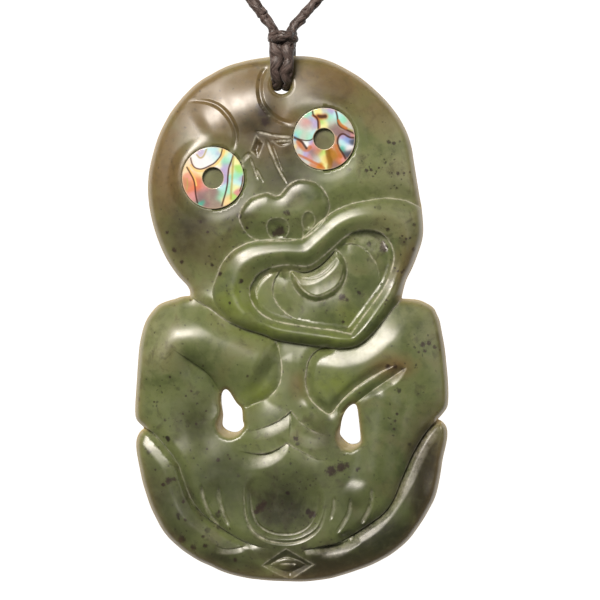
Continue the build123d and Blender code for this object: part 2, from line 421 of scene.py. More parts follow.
class Step(Cut):
    """A crisp step down on one side of a line (left is +1), rising back to the surface over a width."""

    def __init__(self, points, side, width, drop, power=1.5, fade=NO_FADE, mark=0.6):
        super().__init__(points, width, fade)
        self.side, self.drop, self.power, self.mark = side, drop, power, mark
        self.rows = [off * side for off in (0.04, -0.05, 0.16, -0.17, 0.45 * width)]

    def carve(self, spots, height, engraved):
        near, far, side, along = nearest(self.line, spots, self.width)
        taper = self.taper(along)
        share = np.where(side * self.side > 0, 1 - far / self.width, 0)
        height[near] -= self.drop * taper * np.clip(share, 0, 1) ** self.power
        mark_stone(engraved, near, self.mark * taper * edge_line(far))


class Swell(Cut):
    """A soft ridge along a line, or a soft hollow where the rise is negative."""

    def __init__(self, points, width, rise, fade=(0.3, 0.3)):
        super().__init__(points, width, fade)
        self.rise = rise

    def carve(self, spots, height, engraved):
        near, far, _, along = nearest(self.line, spots, self.width)
        height[near] += self.rise * self.taper(along) * (1 - (far / self.width) ** 2) ** 2


class Pad(Cut):
    """A closed form that stands up, or sinks where the rise is negative, with a rounded or straight edge.

    fall is two heights in the photograph between which the form comes up from nothing."""

    def __init__(self, points, edge, rise, shape=quarter, mark=0.0, fall=None):
        super().__init__(points, edge, closed=True)
        self.rise, self.shape, self.mark, self.fall = rise, shape, mark, fall
        self.rows = [0.04, 0.17, -0.05, -0.17, -0.5 * edge, -edge]

    def seeds(self, spacing):
        middle, sideways = evenly(self.line, spacing)
        if inside(self.line, middle[1:2] + sideways[1:2] * 0.05)[0]:
            sideways = -sideways
        return np.vstack([middle + sideways * off for off in self.rows])

    def carve(self, spots, height, engraved):
        within = np.flatnonzero(inside(self.line, spots))
        share = self.shape(distance(self.line, spots[within], self.width) / self.width)
        if self.fall is not None:
            z_low, z_high = spot([(0, y) for y in self.fall])[:, 1]
            share = share * swell((spots[within][:, 1] - z_low) / (z_high - z_low))
        height[within] += self.rise * share
        if self.mark:
            near, close, _, _ = nearest(self.line, spots, EDGE_REACH)
            mark_stone(engraved, near, self.mark * edge_line(close))


class Band(Cut):
    """A form between two closed lines, shaped by one profile from the outer line to the inner."""

    PROFILE = ((0, 0), (0.07, 0.36), (0.18, 0.62), (0.44, 0.96), (0.55, 1.0), (0.68, 0.84), (0.84, 0.42), (1, 0))
    MOST = 9.0
    FULL_WIDTH = 4.2

    def __init__(self, outer, inner, rise):
        super().__init__(outer, 0.0, closed=True)
        self.inner = smooth(spot(inner), closed=True)
        self.rise = rise

    def carve(self, spots, height, engraved):
        within = np.flatnonzero(inside(self.line, spots) & ~inside(self.inner, spots))
        out, into = [distance(line, spots[within], self.MOST) for line in (self.line, self.inner)]
        fine = np.linspace(0, 1, 201)
        levels = np.interp(fine, *zip(*self.PROFILE))
        levels = np.convolve(np.pad(levels, 10, "reflect", reflect_type="odd"), np.ones(21) / 21, "valid")
        room = np.clip((out + into) / self.FULL_WIDTH, 0.35, 1)
        height[within] += self.rise * room * np.interp(out / (out + into + 1e-9), fine, levels)


class Facet(Cut):
    """A sloped cut, deepest along its first line and back at the surface at its second.

    most is how far from the second line it still deepens, bow makes it steeper near the first line, and frost
    leaves it unpolished."""

    rows = (0.05, -0.05, 0.17, -0.17)
    END_ROWS = (0.04, -0.05, 0.16, -0.17)
    SECOND_ROWS = (0.08, -0.08, 0.26, -0.26)

    def __init__(self, first, second, slope, fade=NO_FADE, mark=0.0, most=9.0, bow=0.0, frost=0.0):
        super().__init__(first, 0.0, fade)
        self.second = smooth(spot(second))
        self.area = np.vstack([self.line, self.second[::-1], self.line[:1]])
        self.slope, self.mark, self.most, self.bow, self.frost = slope, mark, most, bow, frost

    def seeds(self, spacing):
        start, sideways = evenly(np.vstack([self.line[:1], self.second[:1]]), spacing)
        end, across = evenly(self.second, spacing)
        rows = [start + sideways * off for off in self.END_ROWS] + [end + across * off for off in self.SECOND_ROWS]
        return np.vstack([super().seeds(spacing), *rows])

    def carve(self, spots, height, engraved):
        within = np.flatnonzero(inside(self.area, spots))
        near, far, _, _ = nearest(self.second, spots[within], 12.0)
        chosen = within[near]
        order, close, _, along = nearest(self.line, spots[chosen], 30.0)
        chosen = chosen[order]
        far = np.minimum(far[order], self.most)
        share = far / (far + close + 1e-9)
        taper = self.taper(along)
        height[chosen] -= self.slope * far * (1 - self.bow + 2 * self.bow * share) * taper
        if self.frost:
            frost = self.frost * taper * np.clip(share * 4, 0, 1) * np.clip((1 - share) * 8, 0, 1)
            mark_stone(engraved, chosen, frost)
        if self.mark:
            near, close, _, along = nearest(self.line, spots, EDGE_REACH)
            mark_stone(engraved, near, self.mark * self.taper(along) * edge_line(close))


# The carving's lines

CHIN = [
    (189.5, 295.5), (200, 303), (208, 307), (216, 313), (225, 320), (235, 325), (245, 329), (255, 332), (265, 335),
    (273, 339), (285, 341.5), (295, 343), (305, 344.5), (317, 346), (327, 347), (340, 348.5), (352, 347.3),
    (360, 344), (368, 337.5), (376, 329.5), (385, 318.5), (394, 307.5), (402.2, 298.5),
]
LIP_LINE = [
    (224, 315), (216.4, 306.5), (212.5, 294), (214, 284), (219, 270), (221, 265), (226, 258), (231, 252),
    (240, 246.5), (250, 242), (260, 240.5), (270, 239.5), (282, 239), (290, 238.7), (298, 239.5), (302, 239),
    (302, 239), (307, 233.5), (314, 227.5), (320, 222), (327, 216), (335, 210.5), (345, 206), (355, 203), (365, 201),
    (375, 199), (385, 198), (395, 198.5), (405, 200), (414, 203.5), (425, 209),
]
MOUTH = [
    (252.5, 282), (256, 276), (262, 271), (270, 267.5), (285, 264.5), (300, 266), (308, 266.5), (316, 262),
    (325, 254.5), (335, 245.5), (345, 236.5), (355, 231), (366, 229.5), (377, 230.7), (385, 235), (391, 243),
    (394, 252), (394, 262), (391, 272), (387.5, 282), (381.5, 292), (374.5, 301.5), (366.5, 312), (358.5, 323),
    (351, 334), (351, 334), (340, 331.5), (330, 329.5), (315, 328), (300, 325.5), (285, 323.3), (273, 320.3),
    (264, 316), (256.5, 309.5), (251.5, 301.5), (249.5, 294), (250, 287),
]
TONGUE = [
    (289.5, 269.5), (290.5, 280), (294.5, 289), (300.5, 296), (308, 300.3), (316, 302), (324, 300.6), (333, 297),
    (340.5, 290), (345.5, 281), (347.3, 272), (346.3, 263), (343, 256), (336, 249), (336, 249), (332, 253),
    (326, 260), (318, 267), (308, 272), (298, 272),
]
NOSE = [
    (239, 217), (240.5, 211), (244, 204.5), (249, 199.5), (255, 196.3), (262, 194), (268, 193), (272.5, 195),
    (277, 196.5), (281, 195), (284.5, 190), (289, 184.7), (296, 181), (303, 179.8), (311, 181), (318, 184.5),
    (323.5, 190), (327, 196), (329.5, 204), (329, 211), (326, 218), (320, 226), (312, 233), (304, 238.5),
    (290, 241), (270, 241), (256, 240), (249, 236), (244, 230), (240.5, 223),
]
RIGHT_PAD = [
    (327, 346), (318, 349), (311, 355.5), (308, 361), (306, 370), (305, 380), (306.5, 390), (309.5, 398),
    (315, 405), (322, 411), (327, 413.8), (331, 414.3), (334, 411.5), (338, 405.5), (344, 398.5), (352, 391),
    (362, 383), (375, 375), (387, 369), (398, 364),
]
LEFT_PAD = [
    (275, 341), (279, 347), (281.2, 360), (282, 370), (281, 380), (278, 388), (272, 395), (262, 401), (252, 405),
    (244, 408.5),
]
LEFT_CREASE = [(170, 347), (176, 351), (183, 356), (191, 361), (200, 367), (208, 373), (214, 381), (219, 390)]
LEGS_LEFT = [
    (142, 427.5), (150, 430.5), (158, 438.5), (167, 449), (175, 459), (180, 469), (183.5, 480), (187.5, 492),
    (193.5, 504), (202, 514), (212, 521.5), (222, 528.5), (232, 535), (243, 541.5), (258, 546.5), (275, 549),
]
LEGS_RIGHT = [
    (440.5, 418.6), (434, 423), (428, 430), (422, 438), (415, 450), (410, 460), (405, 472), (400.5, 482),
    (397, 492), (392.5, 502), (386, 511.5), (378, 518.5), (369, 524.5), (360, 530.5), (350, 537), (340, 542.5),
    (325, 547), (305, 549.5),
]
CALF_RIGHT = [
    (442, 432), (436, 442), (428.6, 453), (421, 470), (413, 485), (404, 500.7), (393, 517), (378, 533), (362, 543),
    (350, 551), (330, 556), (305, 556),
]
BELLY = [
    (245, 483), (243.5, 491), (244, 500), (245, 511), (247, 521), (251, 530), (259, 536.5), (269, 541),
    (280.5, 542.8), (292, 542.3), (303, 539.3), (312.5, 533.5), (319, 526.3), (322.5, 517.5), (325, 508),
    (326, 499), (324, 490), (318, 478), (308, 467), (296, 459), (284, 458), (270, 462), (256, 470),
]
DIAMOND = [
    (262, 566), (262, 566), (274, 557), (286, 549), (286, 549), (300, 557), (314, 565), (314, 565), (302, 573),
    (290, 580.5), (290, 580.5), (276, 574),
]

CHIN_LINE = smooth(spot(CHIN))


def eased(line, spread):
    """A closed line with its small wanderings averaged out, for the broad forms inside it."""
    spacing = 0.3
    spots = evenly(line, spacing)[0][:-1]
    reach = int(spread / spacing)
    window = np.hanning(2 * reach + 3)[1:-1]
    window /= window.sum()
    padded = np.vstack([spots[-reach:], spots, spots[:reach]])
    soft = np.stack([np.convolve(padded[:, axis], window, "valid") for axis in (0, 1)], 1)
    return np.vstack([soft, soft[:1]])


SOFT_OUTLINE = eased(OUTLINE_LINE, 4.0)
# The blank's edge height, the rim's rise and width, and the dome's rise, start and width
HEAD_BLANK = (0.5, 1.6, 1.3, 2.95, 0.4, 11.4)
BODY_BLANK = (0.4, 1.4, 1.1, 2.0, 0.3, 8.5)


def blank(rim, deep, edge, rise, width, crown, start, crown_width):
    return edge + rise * quarter(rim / width) + crown * dome((deep + start) / crown_width)


def base_height(spots, rim):
    """The polished blank: a domed head and a flatter body, rounded over at the rim."""
    x, z = spots.T
    deep = distance(SOFT_OUTLINE, spots, 12.0)
    deep[~inside(SOFT_OUTLINE, spots)] = 0
    in_head = z > np.interp(x, CHIN_LINE[:, 0], CHIN_LINE[:, 1])
    return np.where(in_head, blank(rim, deep, *HEAD_BLANK), blank(rim, deep, *BODY_BLANK))


LIPS = [
    *LIP_LINE, (427, 226), (426, 238), (420, 253), (414, 268), (408, 279), (405, 288), *CHIN[:4:-1], (228, 320),
]

FOREARM = [(407, 367.5), (401, 371.5), (395, 375.5), (384, 383), (373, 390.5), (360, 400.5), (346, 411)]
RIB_ONE_LEFT = [(291, 411), (291, 411), (284, 417), (275.5, 422.5), (265, 427), (255, 430), (245, 431.5), (240, 431)]
RIB_ONE_RIGHT = [(291, 411), (291, 411), (297, 418.5), (303, 425), (312, 431.5), (322, 435), (332, 436.5)]
RIB_TWO_LEFT = [(287.5, 443), (287.5, 443), (281, 447), (275.5, 450), (268, 453), (259, 454), (248, 453), (237, 450.5)]
RIB_TWO_RIGHT = [(287.5, 443), (287.5, 443), (295, 448), (302, 452), (314, 458.5), (323, 460.5), (332, 460.5)]
BREAST_LEFT = [(278, 341), (278, 341), (293, 352), (293, 352), (291.5, 370), (289, 390), (288.5, 400), (291, 411)]

CARVING = [
    # Soft forms of the body, under the crisp cuts
    Swell([(270, 372), (240, 356), (210, 344), (186, 337), (166, 347), (156, 374), (153, 405)], 6.4, 1.6, (0.1, 0.3)),
    Swell([(300, 386), (320, 382), (340, 376), (358, 369), (380, 361), (400, 350), (420, 338), (436, 326)], 7.8, 0.85,
          (0.35, 0.3)),
    Swell([(436, 340), (436, 370), (432, 400), (414, 430), (402, 458)], 5.0, 0.35),
    Swell([(396, 384), (384, 402), (380, 424), (378, 450), (374, 476), (364, 496), (350, 508)], 3.6, 0.95,
          (0.15, 0.35)),
    Swell([(357, 494), (359, 494)], 2.6, 0.42, (0, 0)),
    Swell([(196, 128), (212, 118), (230, 112)], 4.6, 0.3, (0.4, 0.4)),
    Swell([(246, 104), (256, 100)], 5.2, 0.4, (0, 0)),
    Swell([(170, 440), (188, 462), (202, 480), (216, 503)], 4.6, 0.3),
    Swell([(158, 490), (166, 508), (184, 530), (212, 551), (248, 566)], 3.8, 0.5, (0.35, 0.3)),
    Swell([(436, 470), (424, 500), (402, 532), (370, 556), (330, 568)], 3.6, 0.6, (0.2, 0.3)),
    Swell([(200, 398), (204, 420), (214, 440), (228, 456)], 4.2, -0.45, (0.35, 0.5)),
    # Head over body
    Step(CHIN, -1, 3.2, 0.6, 1.3, (0.08, 0.0), 1.0),
    Step(CHIN, 1, 1.7, 1.05, 2.0, (0.12, 0.0), 0.3),
    # Chest pads and ribs
    Step(LEFT_PAD, -1, 1.6, 0.5, 2.0, (0.05, 0.1), 0.0),
    Step(RIGHT_PAD, 1, 1.5, 1.0, 1.2, (0.0, 0.12), 1.0),
    Step(RIGHT_PAD, -1, 1.5, 0.35, 2.0, (0.0, 0.15), 0.0),
    Facet(LEFT_PAD, [*BREAST_LEFT, *RIB_ONE_LEFT[2:]], 0.1, (0, 0.3), 0.9, bow=0.6),
    Facet(RIB_ONE_LEFT, [(291, 427), (291, 427), (280, 434), (270, 439), (258, 441), (242, 440)], 0.17, (0, 0.75), 0.9,
          bow=0.6, frost=0.25),
    Facet(RIB_TWO_LEFT, [(289, 446), (287, 454), (280, 461.5), (268, 468), (255, 470), (240, 470)], 0.24, (0, 0.6), 0.9,
          bow=0.45, frost=0.25),
    Facet(RIB_ONE_RIGHT, [(289, 438), (296, 444), (305, 448), (316, 450), (332, 448)], 0.14, (0, 0.5), 0.8, 1.8),
    Step(RIB_TWO_RIGHT, -1, 1.8, 0.25, 1.5, (0, 0.6), 0.75),
    Swell([(303, 396), (309, 410), (319, 423), (330, 427)], 1.9, 0.3, (0.3, 0.4)),
    # Folds of the arms
    Step(LEFT_CREASE, -1, 5.0, 1.5, 1.5, (0.55, 0.0), 0.0),
    Step(LEFT_CREASE, 1, 1.8, 0.7, 2.0, (0.55, 0.0), 0.0),
    Facet(FOREARM, [(407, 368), (407, 368), (403, 377), (396, 385), (386, 389), (374, 396), (354, 410)], 0.5,
          (0.02, 0.75), 0.6, bow=0.3, frost=0.25),
    Step(FOREARM, -1, 1.5, 0.9, 1.3, (0.1, 0.0), 0.0),
    # Legs under the arms and hands
    Step(LEGS_LEFT, -1, 0.9, 1.0, 1.0, (0.0, 0.3), 0.5),
    Step(LEGS_LEFT, -1, 2.6, 0.8, 1.0, (0.0, 0.3), 0.0),
    Step(LEGS_LEFT, 1, 1.6, 0.7, 2.0, (0.1, 0.3), 0.0),
    Step(LEGS_RIGHT, 1, 0.8, 0.9, 1.0, (0.0, 0.3), 0.5),
    Facet(LEGS_RIGHT, CALF_RIGHT, 0.27, (0.0, 0.0), 0.0, bow=0.25, frost=0.3),
    Step(LEGS_RIGHT, -1, 1.6, 0.7, 2.0, (0.1, 0.3), 0.0),
    # Belly dish
    Pad(BELLY, 1.5, -0.7, swell, 0.0, fall=(466, 512)),
    Groove([(244, 480), (243.3, 490), (244, 500), (245, 512), (247.3, 522.5), (252, 531), (260, 537), (269, 541),
            (280, 543), (292, 543), (303.5, 540), (313, 534.5), (320, 527), (323.5, 518), (325.5, 508),
            (326, 499)], 0.75, 0.5, fade=(0.3, 0.4), mark=0.8),
    Groove([(250, 487), (250.5, 500), (252.5, 514), (257, 524), (264, 530), (274, 534), (286, 535.5), (297, 534),
            (306, 529.5), (313, 522), (317, 512)], 0.5, 0.28, fade=(0.25, 0.25), mark=0.5),
    # Fingers
    Groove([(201, 484), (202, 493), (204.5, 502), (208.5, 512), (213.5, 520), (221, 528)], 0.8, 0.6, mark=0.45),
    Groove([(218.5, 485), (219, 497), (221, 507), (224.5, 517), (230, 528)], 0.8, 0.6, mark=0.45),
    Groove([(371.5, 487), (372, 497), (370, 507), (366, 516), (360.5, 525)], 0.8, 0.6, mark=0.45),
    Groove([(351, 497), (350.3, 508), (347, 517), (342, 525), (336, 534)], 0.7, 0.5, mark=0.35),
    Groove([(334, 497), (334, 508), (330, 520)], 0.6, 0.3, mark=0.25),
    # Feet and the lozenge between them
    Facet([(214, 545), (224, 549), (236, 548.5), (248, 545)], [(214, 553), (226, 556), (240, 554), (252, 549)], 0.32,
          (0.3, 0.3), 0.4, frost=0.2),
    Facet([(312, 549), (322, 546), (336, 545), (348, 541), (357, 535)],
          [(312, 558), (324, 560), (338, 559), (350, 553), (362, 543)], 0.34, (0.3, 0.1), 0.2,
          bow=0.2, frost=0.25),
    Swell([(344, 538), (350, 536)], 1.0, -0.9, (0, 0)),
    Pad(DIAMOND, 0.9, -0.75, straight, 0.6),
    Pad([(270, 565.5), (270, 565.5), (278, 560), (287, 557.5), (297, 560), (306, 565), (306, 565), (297, 570),
         (288, 572.5), (278, 570)], 0.8, 0.45, quarter, 0.2),
    Groove([(279, 564.8), (288, 563.8), (297, 564.8)], 0.4, 0.2),
    # Face: lips over the cheeks
    Step(LIP_LINE, 1, 3.4, 1.0, 1.6, (0.25, 0.0), 0.9),
    Band(LIPS, MOUTH, 1.25),
    # Mouth
    Pad(MOUTH, 0.9, -0.8, straight, 0.9),
    Step([(281, 269), (274, 279), (272, 288), (273, 297), (277, 304), (283, 311), (290, 317), (300, 321)], 1, 2.2, 0.6,
         1.2, (0.1, 0.35), 0.9),
    Facet(MOUTH[10:17], [(341, 246), (352, 244.5), (362, 248), (369, 253.5), (376, 263), (379, 273)], 0.34,
          (0.2, 0.3), 0.0, frost=0.25),
    Step([(341, 244.5), (352, 243), (362, 247), (369, 253), (376, 263), (379, 272), (380, 284)], -1, 1.8, 0.35, 1.3,
         (0.1, 0.35), 0.7),
    Facet([(249.5, 296), (250, 287), (252.5, 282), (256, 276), (262, 271), (272, 267.2)],
          [(259, 302), (258, 293), (261, 285), (268, 278), (277, 271.5)], 0.34, (0.2, 0.1), 0.0, frost=0.2),
    Step([(258, 300), (256, 292), (258, 284), (264, 277), (272, 272)], 1, 0.9, 0.2, 1.0, (0.2, 0.2), 0.6),
    Swell([(300, 305), (320, 310), (345, 303), (360, 285)], 4.5, 0.5),
    Pad(TONGUE, 0.9, 0.95, straight, 0.7),
    Groove([(293.5, 271), (296, 280), (303, 290), (311, 295.5), (318, 297), (328, 293), (337, 287), (342, 279),
            (344.5, 270)], 0.4, 0.14, mark=0.8),
    Facet([TONGUE[0], *TONGUE[:13:-1]], [(292, 282), (303, 285.5), (315, 284), (327, 277), (337, 267), (341, 258)],
          0.34, (0.25, 0.1), 0.6, bow=0.1, frost=0.3),
    Groove([(293, 275), (303, 278.5), (313, 279), (322, 275.5), (331, 268), (337, 259)], 0.35, 0.12, mark=0.5),
    # Nose
    Pad(NOSE, 2.3, 1.0, shoulder, 1.0, fall=(240, 212)),
    Pad([(266.5, 228), (267, 223), (270, 219.6), (275, 218), (281, 218), (286, 220), (288.7, 224), (289, 230),
         (287, 236), (283, 239.5), (273, 239.5), (268.5, 235)], 0.7, -0.55, straight, 0.6),
    Pad([(301.5, 222), (302.5, 216), (305.5, 212), (309, 211.3), (312.5, 213), (315, 217.5), (315, 223),
         (312, 227.5), (307.5, 230.5), (303.5, 228.5)], 0.5, -0.45, straight, 0.6),
    Groove([(303.5, 228), (303.5, 233), (302.5, 238)], 0.4, 0.2),
    # Brows
    Groove([(184, 103), (187, 101.5), (193, 100.7), (200, 100.6), (207, 101.5), (213, 103.5), (219, 106.5),
            (224.5, 111.5), (229.5, 117.5), (233.5, 125), (236, 132), (236.3, 138), (235, 145), (231.5, 152.5)],
           1.0, 0.36, 0.3, (0.4, 0.06), 0.55),
    Groove([(268, 66), (263.5, 71), (260.5, 78), (259.3, 87), (260, 96), (262, 103), (266, 109.5), (271.5, 115.5),
            (278.5, 120.5), (287, 123.6), (297, 124.5)], 1.05, 0.38, 0.3, (0.12, 0.06), 0.55),
    # Wedges between the brows
    Groove([(254.5, 132), (262, 133), (270, 135), (280, 136.7), (293, 137)], 0.55, 0.4),
    Groove([(274, 141), (282, 140.7), (293, 140.5)], 0.4, 0.25),
    Pad([(273, 141.8), (273, 141.8), (292.5, 142), (292.5, 142), (287, 145.5), (281, 147.5)], 0.5, -0.4, straight, 0.5),
    Pad([(256, 135.5), (256, 135.5), (263.5, 144), (263.5, 144), (258, 158), (258, 158), (250.5, 151), (250.5, 151)],
        0.7, -0.45, straight, 0.6),
    Groove([(266.5, 139), (269.5, 148), (273.5, 158), (279, 170), (287, 184)], 0.55, 0.45),
    Groove([(272.5, 144), (277, 157), (283, 173)], 0.35, 0.2, mark=0.6),
    Groove([(250.5, 152.5), (246, 157), (241.5, 162.5), (243, 169)], 0.7, 0.5),
    Groove([(250, 158), (253.5, 167), (257.5, 178.5)], 0.45, 0.3),
    Groove([(256, 169), (259.5, 175), (263, 182)], 0.4, 0.25),
]


# The seats' clearance, and where and how wide the face eases down to them
SEAT_GAP = 0.05
SEAT_START = 0.15
SEAT_EASE = 2.2
HOLE_EASE = 0.4
HOLE_EASE_WIDTH = 0.45
# The rim's height and rounding on the front, and how far the gaps' edges are rounded down
RIM_HEIGHT = 0.35
EDGE_ROUND = 0.8
GAP_ROUND_DROP = 1.2
# Where the gaps flare out at their lower ends: place in the photograph, and reach across and down
FLARES = (((226, 428), 2.3, 2.6), ((345, 442), 2.2, 2.4))
FLARE_WIDTH = 1.9
FLARE_DEPTH = 3.0


def seat_eyes(spots, height, engraved):
    """Round seats for the shell rings, level with the face, with a thin pale rim."""
    for middle in (LEFT_EYE, RIGHT_EYE):
        far = np.hypot(*(spots - middle).T)
        level = EYE_FACE - 0.02
        ease = swell((far - EYE_RADIUS - SEAT_START) / SEAT_EASE)
        near = far < EYE_RADIUS + SEAT_START + SEAT_EASE
        height[near] = (level + (height - level) * ease)[near]
        height[far < EYE_RADIUS + SEAT_GAP] = EYE_SEAT
        mark_stone(engraved, near, 0.7 * np.clip(1 - abs(far - EYE_RADIUS - 0.12) / 0.16, 0, 1)[near])


def hole_ease(spots):
    """How far the drilled hole's eased edge lies under the surface."""
    return HOLE_EASE * np.clip(1 - (np.hypot(*spots.T) - HOLE_RADIUS) / HOLE_EASE_WIDTH, 0, 1)


def rim_distance(spots, reach):
    """How far each spot is from the outline, and from the pierced gaps."""
    return distance(OUTLINE_LINE, spots, reach), np.minimum(*[distance(line, spots, reach) for line in GAP_LINES])


def front_surface(spots):
    """Height, finish marks and share of painted rim glow of the carved front at each spot."""
    rim, gap = rim_distance(spots, 12.0)
    height = base_height(spots, rim)
    engraved = np.zeros(len(spots))
    for cut in CARVING:
        cut.carve(spots, height, engraved)
    seat_eyes(spots, height, engraved)
    height -= hole_ease(spots)
    edge = abs(np.hypot(*spots.T) - HOLE_RADIUS - HOLE_EASE)
    engraved = np.maximum(engraved, 0.5 * np.clip(1 - edge / 0.15, 0, 1))
    height = RIM_HEIGHT + (height - RIM_HEIGHT) * quarter(rim / EDGE_ROUND)
    height -= GAP_ROUND_DROP * (1 - quarter(gap / EDGE_ROUND))
    flare = np.zeros(len(spots))
    for place, wide, tall in FLARES:
        off = (spots - spot([place])[0]) / (wide, tall)
        flare = np.maximum(flare, np.clip(1.4 - np.hypot(*off.T), 0, 1))
    cut = flare * np.clip(1 - gap / (FLARE_WIDTH * flare + 1e-6), 0, 1)
    height -= FLARE_DEPTH * cut**1.3
    engraved = np.maximum(engraved, 0.2 * swell(cut / 0.15))
    # The share of painted glow, as of backlight through thin stone: near the outline, near the gaps and in their flares
    thin = np.exp(-rim / 0.42) + 0.5 * np.exp(-gap / 0.3) + 0.45 * swell(cut / 0.4)
    return height, engraved, np.clip(thin, 0, 1)


def back_surface(spots):
    """Height, finish marks and share of painted rim glow of the plain polished back at each spot."""
    rim, gap = rim_distance(spots, 8.0)
    depth = BACK_DEPTH - 1.8 * (1 - quarter(rim / 2.6)) - 0.8 * (1 - quarter(gap / 0.9)) - hole_ease(spots)
    # The share of painted glow near the back's outline and gaps
    thin = np.exp(-rim / 0.45) + 0.5 * np.exp(-gap / 0.3)
    return -depth, np.zeros(len(spots)), np.clip(thin, 0, 1)


def thinned(groups, spacings):
    """The spots of each group in turn, without those nearer to an earlier one than the group's spacing."""
    cell = 0.5
    kept, grid = [], {}
    for spots, spacing in zip(groups, spacings):
        limit = spacing**2
        for x, z in spots.tolist():
            i, k = int(x // cell), int(z // cell)
            cells = [grid.get((a, b), ()) for a in (i - 1, i, i + 1) for b in (k - 1, k, k + 1)]
            if all((p - x) ** 2 + (q - z) ** 2 >= limit for near in cells for p, q in near):
                grid.setdefault((i, k), []).append((x, z))
                kept.append((x, z))
    return np.array(kept)


def honeycomb(low, high, spacing, seed):
    """An even field of points with a slight hand-made unevenness."""
    rows = np.arange(low[1], high[1], spacing * 0.866)
    across = np.arange(low[0], high[0], spacing)
    x, z = np.meshgrid(across, rows)
    x[1::2] += spacing / 2
    field = np.c_[x.ravel(), z.ravel()]
    return field + np.random.default_rng(seed).normal(0, spacing * 0.04, field.shape)


def ring_rows(line, offsets, spacing, outside):
    """Rows of points beside a closed edge, on the stone's side of it."""
    middle, sideways = evenly(line, spacing)
    if inside(line, middle[1:2] + sideways[1:2] * 0.05)[0] == outside:
        sideways = -sideways
    rows = []
    for off in offsets:
        row = middle + sideways * off
        near, far, _, _ = nearest(line, row, off * 0.93)
        keep = np.ones(len(row), bool)
        keep[near] = False
        rows.append(row[keep])
    return rows


# How far apart the mesh's points are along the outline and along the openings' edges
OUTLINE_SPACING = 0.32
OPENING_SPACING = 0.2
# The least distance between points, as a share of the spacing, for cuts, rows beside the edges and the field
CUT_SHARE = 0.33
BESIDE_SHARE = 0.5
FIELD_SHARE = 0.62
EDGE_CLEARANCE = 0.045
# For the front and the back: spacing of the field and of the rows, and where the rows beside the edges lie
FRONT_SPACING = (0.34, 0.19, (0.07, 0.18, 0.34, 0.56, 0.85, 1.25))
BACK_SPACING = (1.1, 0.45, (0.2, 0.5, 0.95, 1.6, 2.4))
WALL_STEPS = 4
# The share of painted rim glow on the side walls
WALL_THIN = 0.25


def in_stone(spots):
    """Which spots lie inside the outline and outside the gaps and the hole."""
    within = inside(OUTLINE_LINE, spots)
    for line in OPENINGS:
        within &= ~inside(line, spots)
    return within


def eye_rows(spacing):
    """Rings of points on both sides of each seat's edge."""
    rows = []
    for middle in (LEFT_EYE, RIGHT_EYE):
        for off in (0.03, 0.07, 0.3, -0.3):
            radius = EYE_RADIUS + off
            rows.append(middle + radius * circle(around(int(2 * math.pi * radius / spacing))))
    return rows


def sheet_of_stone(surface, spacings, cuts, seed):
    """One face of the figure as triangles over its outline, with the gaps and the hole left open."""
    field_spacing, row_spacing, offsets = spacings
    edges = [(OUTLINE_LINE, False, OUTLINE_SPACING), *[(line, True, OPENING_SPACING) for line in OPENINGS]]
    loops = [evenly(line, spacing)[0][:-1] for line, _, spacing in edges]
    boundary = np.vstack(loops)
    beside = [row for line, outside, _ in edges for row in ring_rows(line, offsets, row_spacing, outside)]
    seeds = [cut.seeds(row_spacing) for cut in cuts] + (eye_rows(row_spacing) if cuts else [])
    field = honeycomb(OUTLINE_LINE.min(0), OUTLINE_LINE.max(0), field_spacing, seed)
    limits = [0.0] + [row_spacing * CUT_SHARE] * len(seeds) + [row_spacing * BESIDE_SHARE] * len(beside)
    spots = thinned([boundary, *seeds, *beside, field], limits + [field_spacing * FIELD_SHARE])
    inner = spots[len(boundary):]
    inner = inner[in_stone(inner)]
    close = np.zeros(len(inner), bool)
    for line, _, _ in edges:
        close[nearest(line, inner, EDGE_CLEARANCE)[0]] = True
    spots = np.vstack([boundary, inner[~close]])
    rims, start = [], 0
    for loop in loops:
        rims.append((start, len(loop)))
        start += len(loop)
    rim_edges = [(first + i, first + (i + 1) % count) for first, count in rims for i in range(count)]
    made = delaunay_2d_cdt([Vector(p) for p in spots.tolist()], rim_edges, [], 0, 1e-7)
    places = np.array([tuple(p) for p in made[0]])
    faces = np.array(made[2])
    keep = (faces >= len(boundary)).any(1)
    between_rims = np.flatnonzero(~keep)
    keep[between_rims] = in_stone(places[faces[between_rims]].mean(1))
    height, engraved, thin = surface(places)
    return places, height, engraved, thin, faces[keep], rims


def build_mesh(name, points, faces, marks=None):
    """A smooth-shaded mesh with the numbers or vectors of marks on its points."""
    mesh = bpy.data.meshes.new(name)
    mesh.from_pydata([tuple(p) for p in points], [], [tuple(f) for f in faces])
    for key, values in (marks or {}).items():
        values = np.asarray(values, np.float32)
        kind, slot = ("FLOAT", "value") if values.ndim == 1 else ("FLOAT_VECTOR", "vector")
        mesh.attributes.new(key, kind, "POINT").data.foreach_set(slot, values.ravel())
    mesh.validate()
    mesh.update()
    mesh.polygons.foreach_set("use_smooth", [True] * len(mesh.polygons))
    piece = bpy.data.objects.new(name, mesh)
    bpy.context.scene.collection.objects.link(piece)
    return piece


